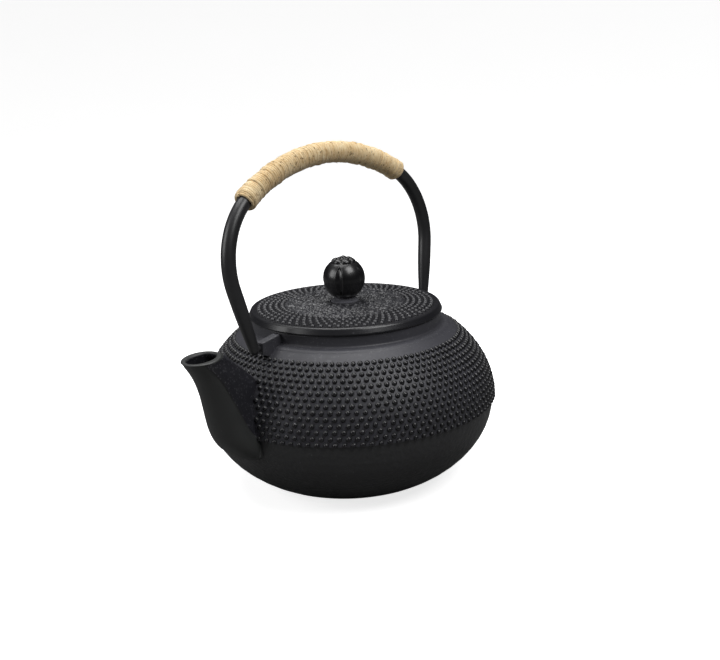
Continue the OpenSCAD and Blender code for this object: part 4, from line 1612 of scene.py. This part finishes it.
def cast_irons() -> list[CastIron]:
    """Lists the finishes of the cast iron, from the pot's skin to the lid's face.

    Returns:
        One finish for each kind of surface.
    """
    return [
        # Studs: a darker base colour than the ground between them, painted shade on the studs.
        CastIron(
            "stud_iron_painted_shade", dark=(0.006, 0.006, 0.007), light=(0.012, 0.012, 0.014), roughness=0.30,
            crown_gloss=0.05, relief=0.07 * MM, glint_specks=0.5, leather=0.15,
        ),
        # Upper half, neck and lugs: a lighter base colour, painted light that the ground between the studs catches from
        # above.
        CastIron(
            "shoulder_iron_painted_light", dark=(0.030, 0.030, 0.036), light=(0.052, 0.052, 0.062), roughness=0.50,
            relief=0.10 * MM, glint_specks=0.7, leather=0.2,
        ),
        CastIron(
            "bowl_iron", dark=(0.020, 0.020, 0.021), light=(0.030, 0.031, 0.032), roughness=0.46,
            relief=0.34 * MM, leather=1.0, sand=0.2, leather_size=2.4 * MM, glint_specks=0.1,
        ),
        CastIron(
            "spout_iron", dark=(0.022, 0.023, 0.023), light=(0.034, 0.036, 0.035), roughness=0.48,
            relief=0.04 * MM, sand=0.4, glint_specks=0.1,
        ),
        CastIron(
            "flank_iron", dark=(0.009, 0.009, 0.012), light=(0.016, 0.016, 0.021),
            relief=0.10 * MM, glint_specks=1.0, sand=0.8, leather=0.15,
        ),
        CastIron(
            "lid_iron", dark=(0.008, 0.008, 0.010), light=(0.015, 0.015, 0.018), roughness=0.30,
            relief=0.02 * MM, glint_specks=0.1, sand=0.3,
        ),
        # Lid face: a paler colour on the crowns of its studs and crumples.
        CastIron(
            "lid_face_iron", dark=(0.007, 0.007, 0.009), light=(0.013, 0.013, 0.016), roughness=0.36,
            crown_gloss=0.06, crown_tint=0.55, relief=0.05 * MM, glint_specks=0.3, leather=0.15,
        ),
    ]


def knob_coats() -> tuple[SatinCoat, SatinCoat]:
    """Makes the knob's two coats.

    Returns:
        The ball's lacquer and the collar's satin coat.
    """
    lacquer = SatinCoat(
        "knob_gloss", colour=(0.003, 0.003, 0.004), pale_tone=(0.006, 0.006, 0.007), roughness=0.30,
        peel=0.004 * MM, coat=0.3, coat_roughness=0.20,
    )
    collar = SatinCoat("collar_satin", colour=(0.07, 0.07, 0.08), pale_tone=(0.11, 0.11, 0.125), roughness=0.26)
    return lacquer, collar


def main() -> None:
    """Builds the studio and the teapot, one sub-assembly after another."""
    logging.basicConfig(level=logging.INFO, format="%(name)s: %(message)s")
    Studio().build(PaleFloor("pale_board").build())
    irons = {finish.name: finish.build() for finish in cast_irons()}
    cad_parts["pot_bowl"].data.materials[0] = irons["bowl_iron"]
    LOG.info("pot casting")
    # The studs take the iron darkened with painted shade; the upper half takes the iron lightened with painted light.
    PotCasting().build(irons["stud_iron_painted_shade"], irons["spout_iron"], irons["shoulder_iron_painted_light"], irons["flank_iron"])
    LOG.info("bail")
    Bail().build(SatinCoat("bail_satin").build(), JuteTwine("jute_twine").build())
    LOG.info("lid")
    Lid().build(irons["lid_face_iron"], irons["lid_iron"])
    LOG.info("knob")
    lacquer, collar = knob_coats()
    collar_satin = collar.build()
    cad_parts["knob_collar"].data.materials[0] = collar_satin
    Knob().build(lacquer.build(), collar_satin)
    LOG.info("infuser and fasteners")
    Infuser().build(BrushedSteel("infuser_steel_sheet").build())
    dress_fasteners(BrushedSteel("screw_steel", colour=(0.42, 0.42, 0.43), mark_width=0.2 * MM).build())
    visual_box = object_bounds()
    boxes = {"cad": CAD_BOX, "visual": visual_box}
    {name: [list(corner) for corner in box] for name, box in boxes.items()}


if __name__ == "__main__":
    main()
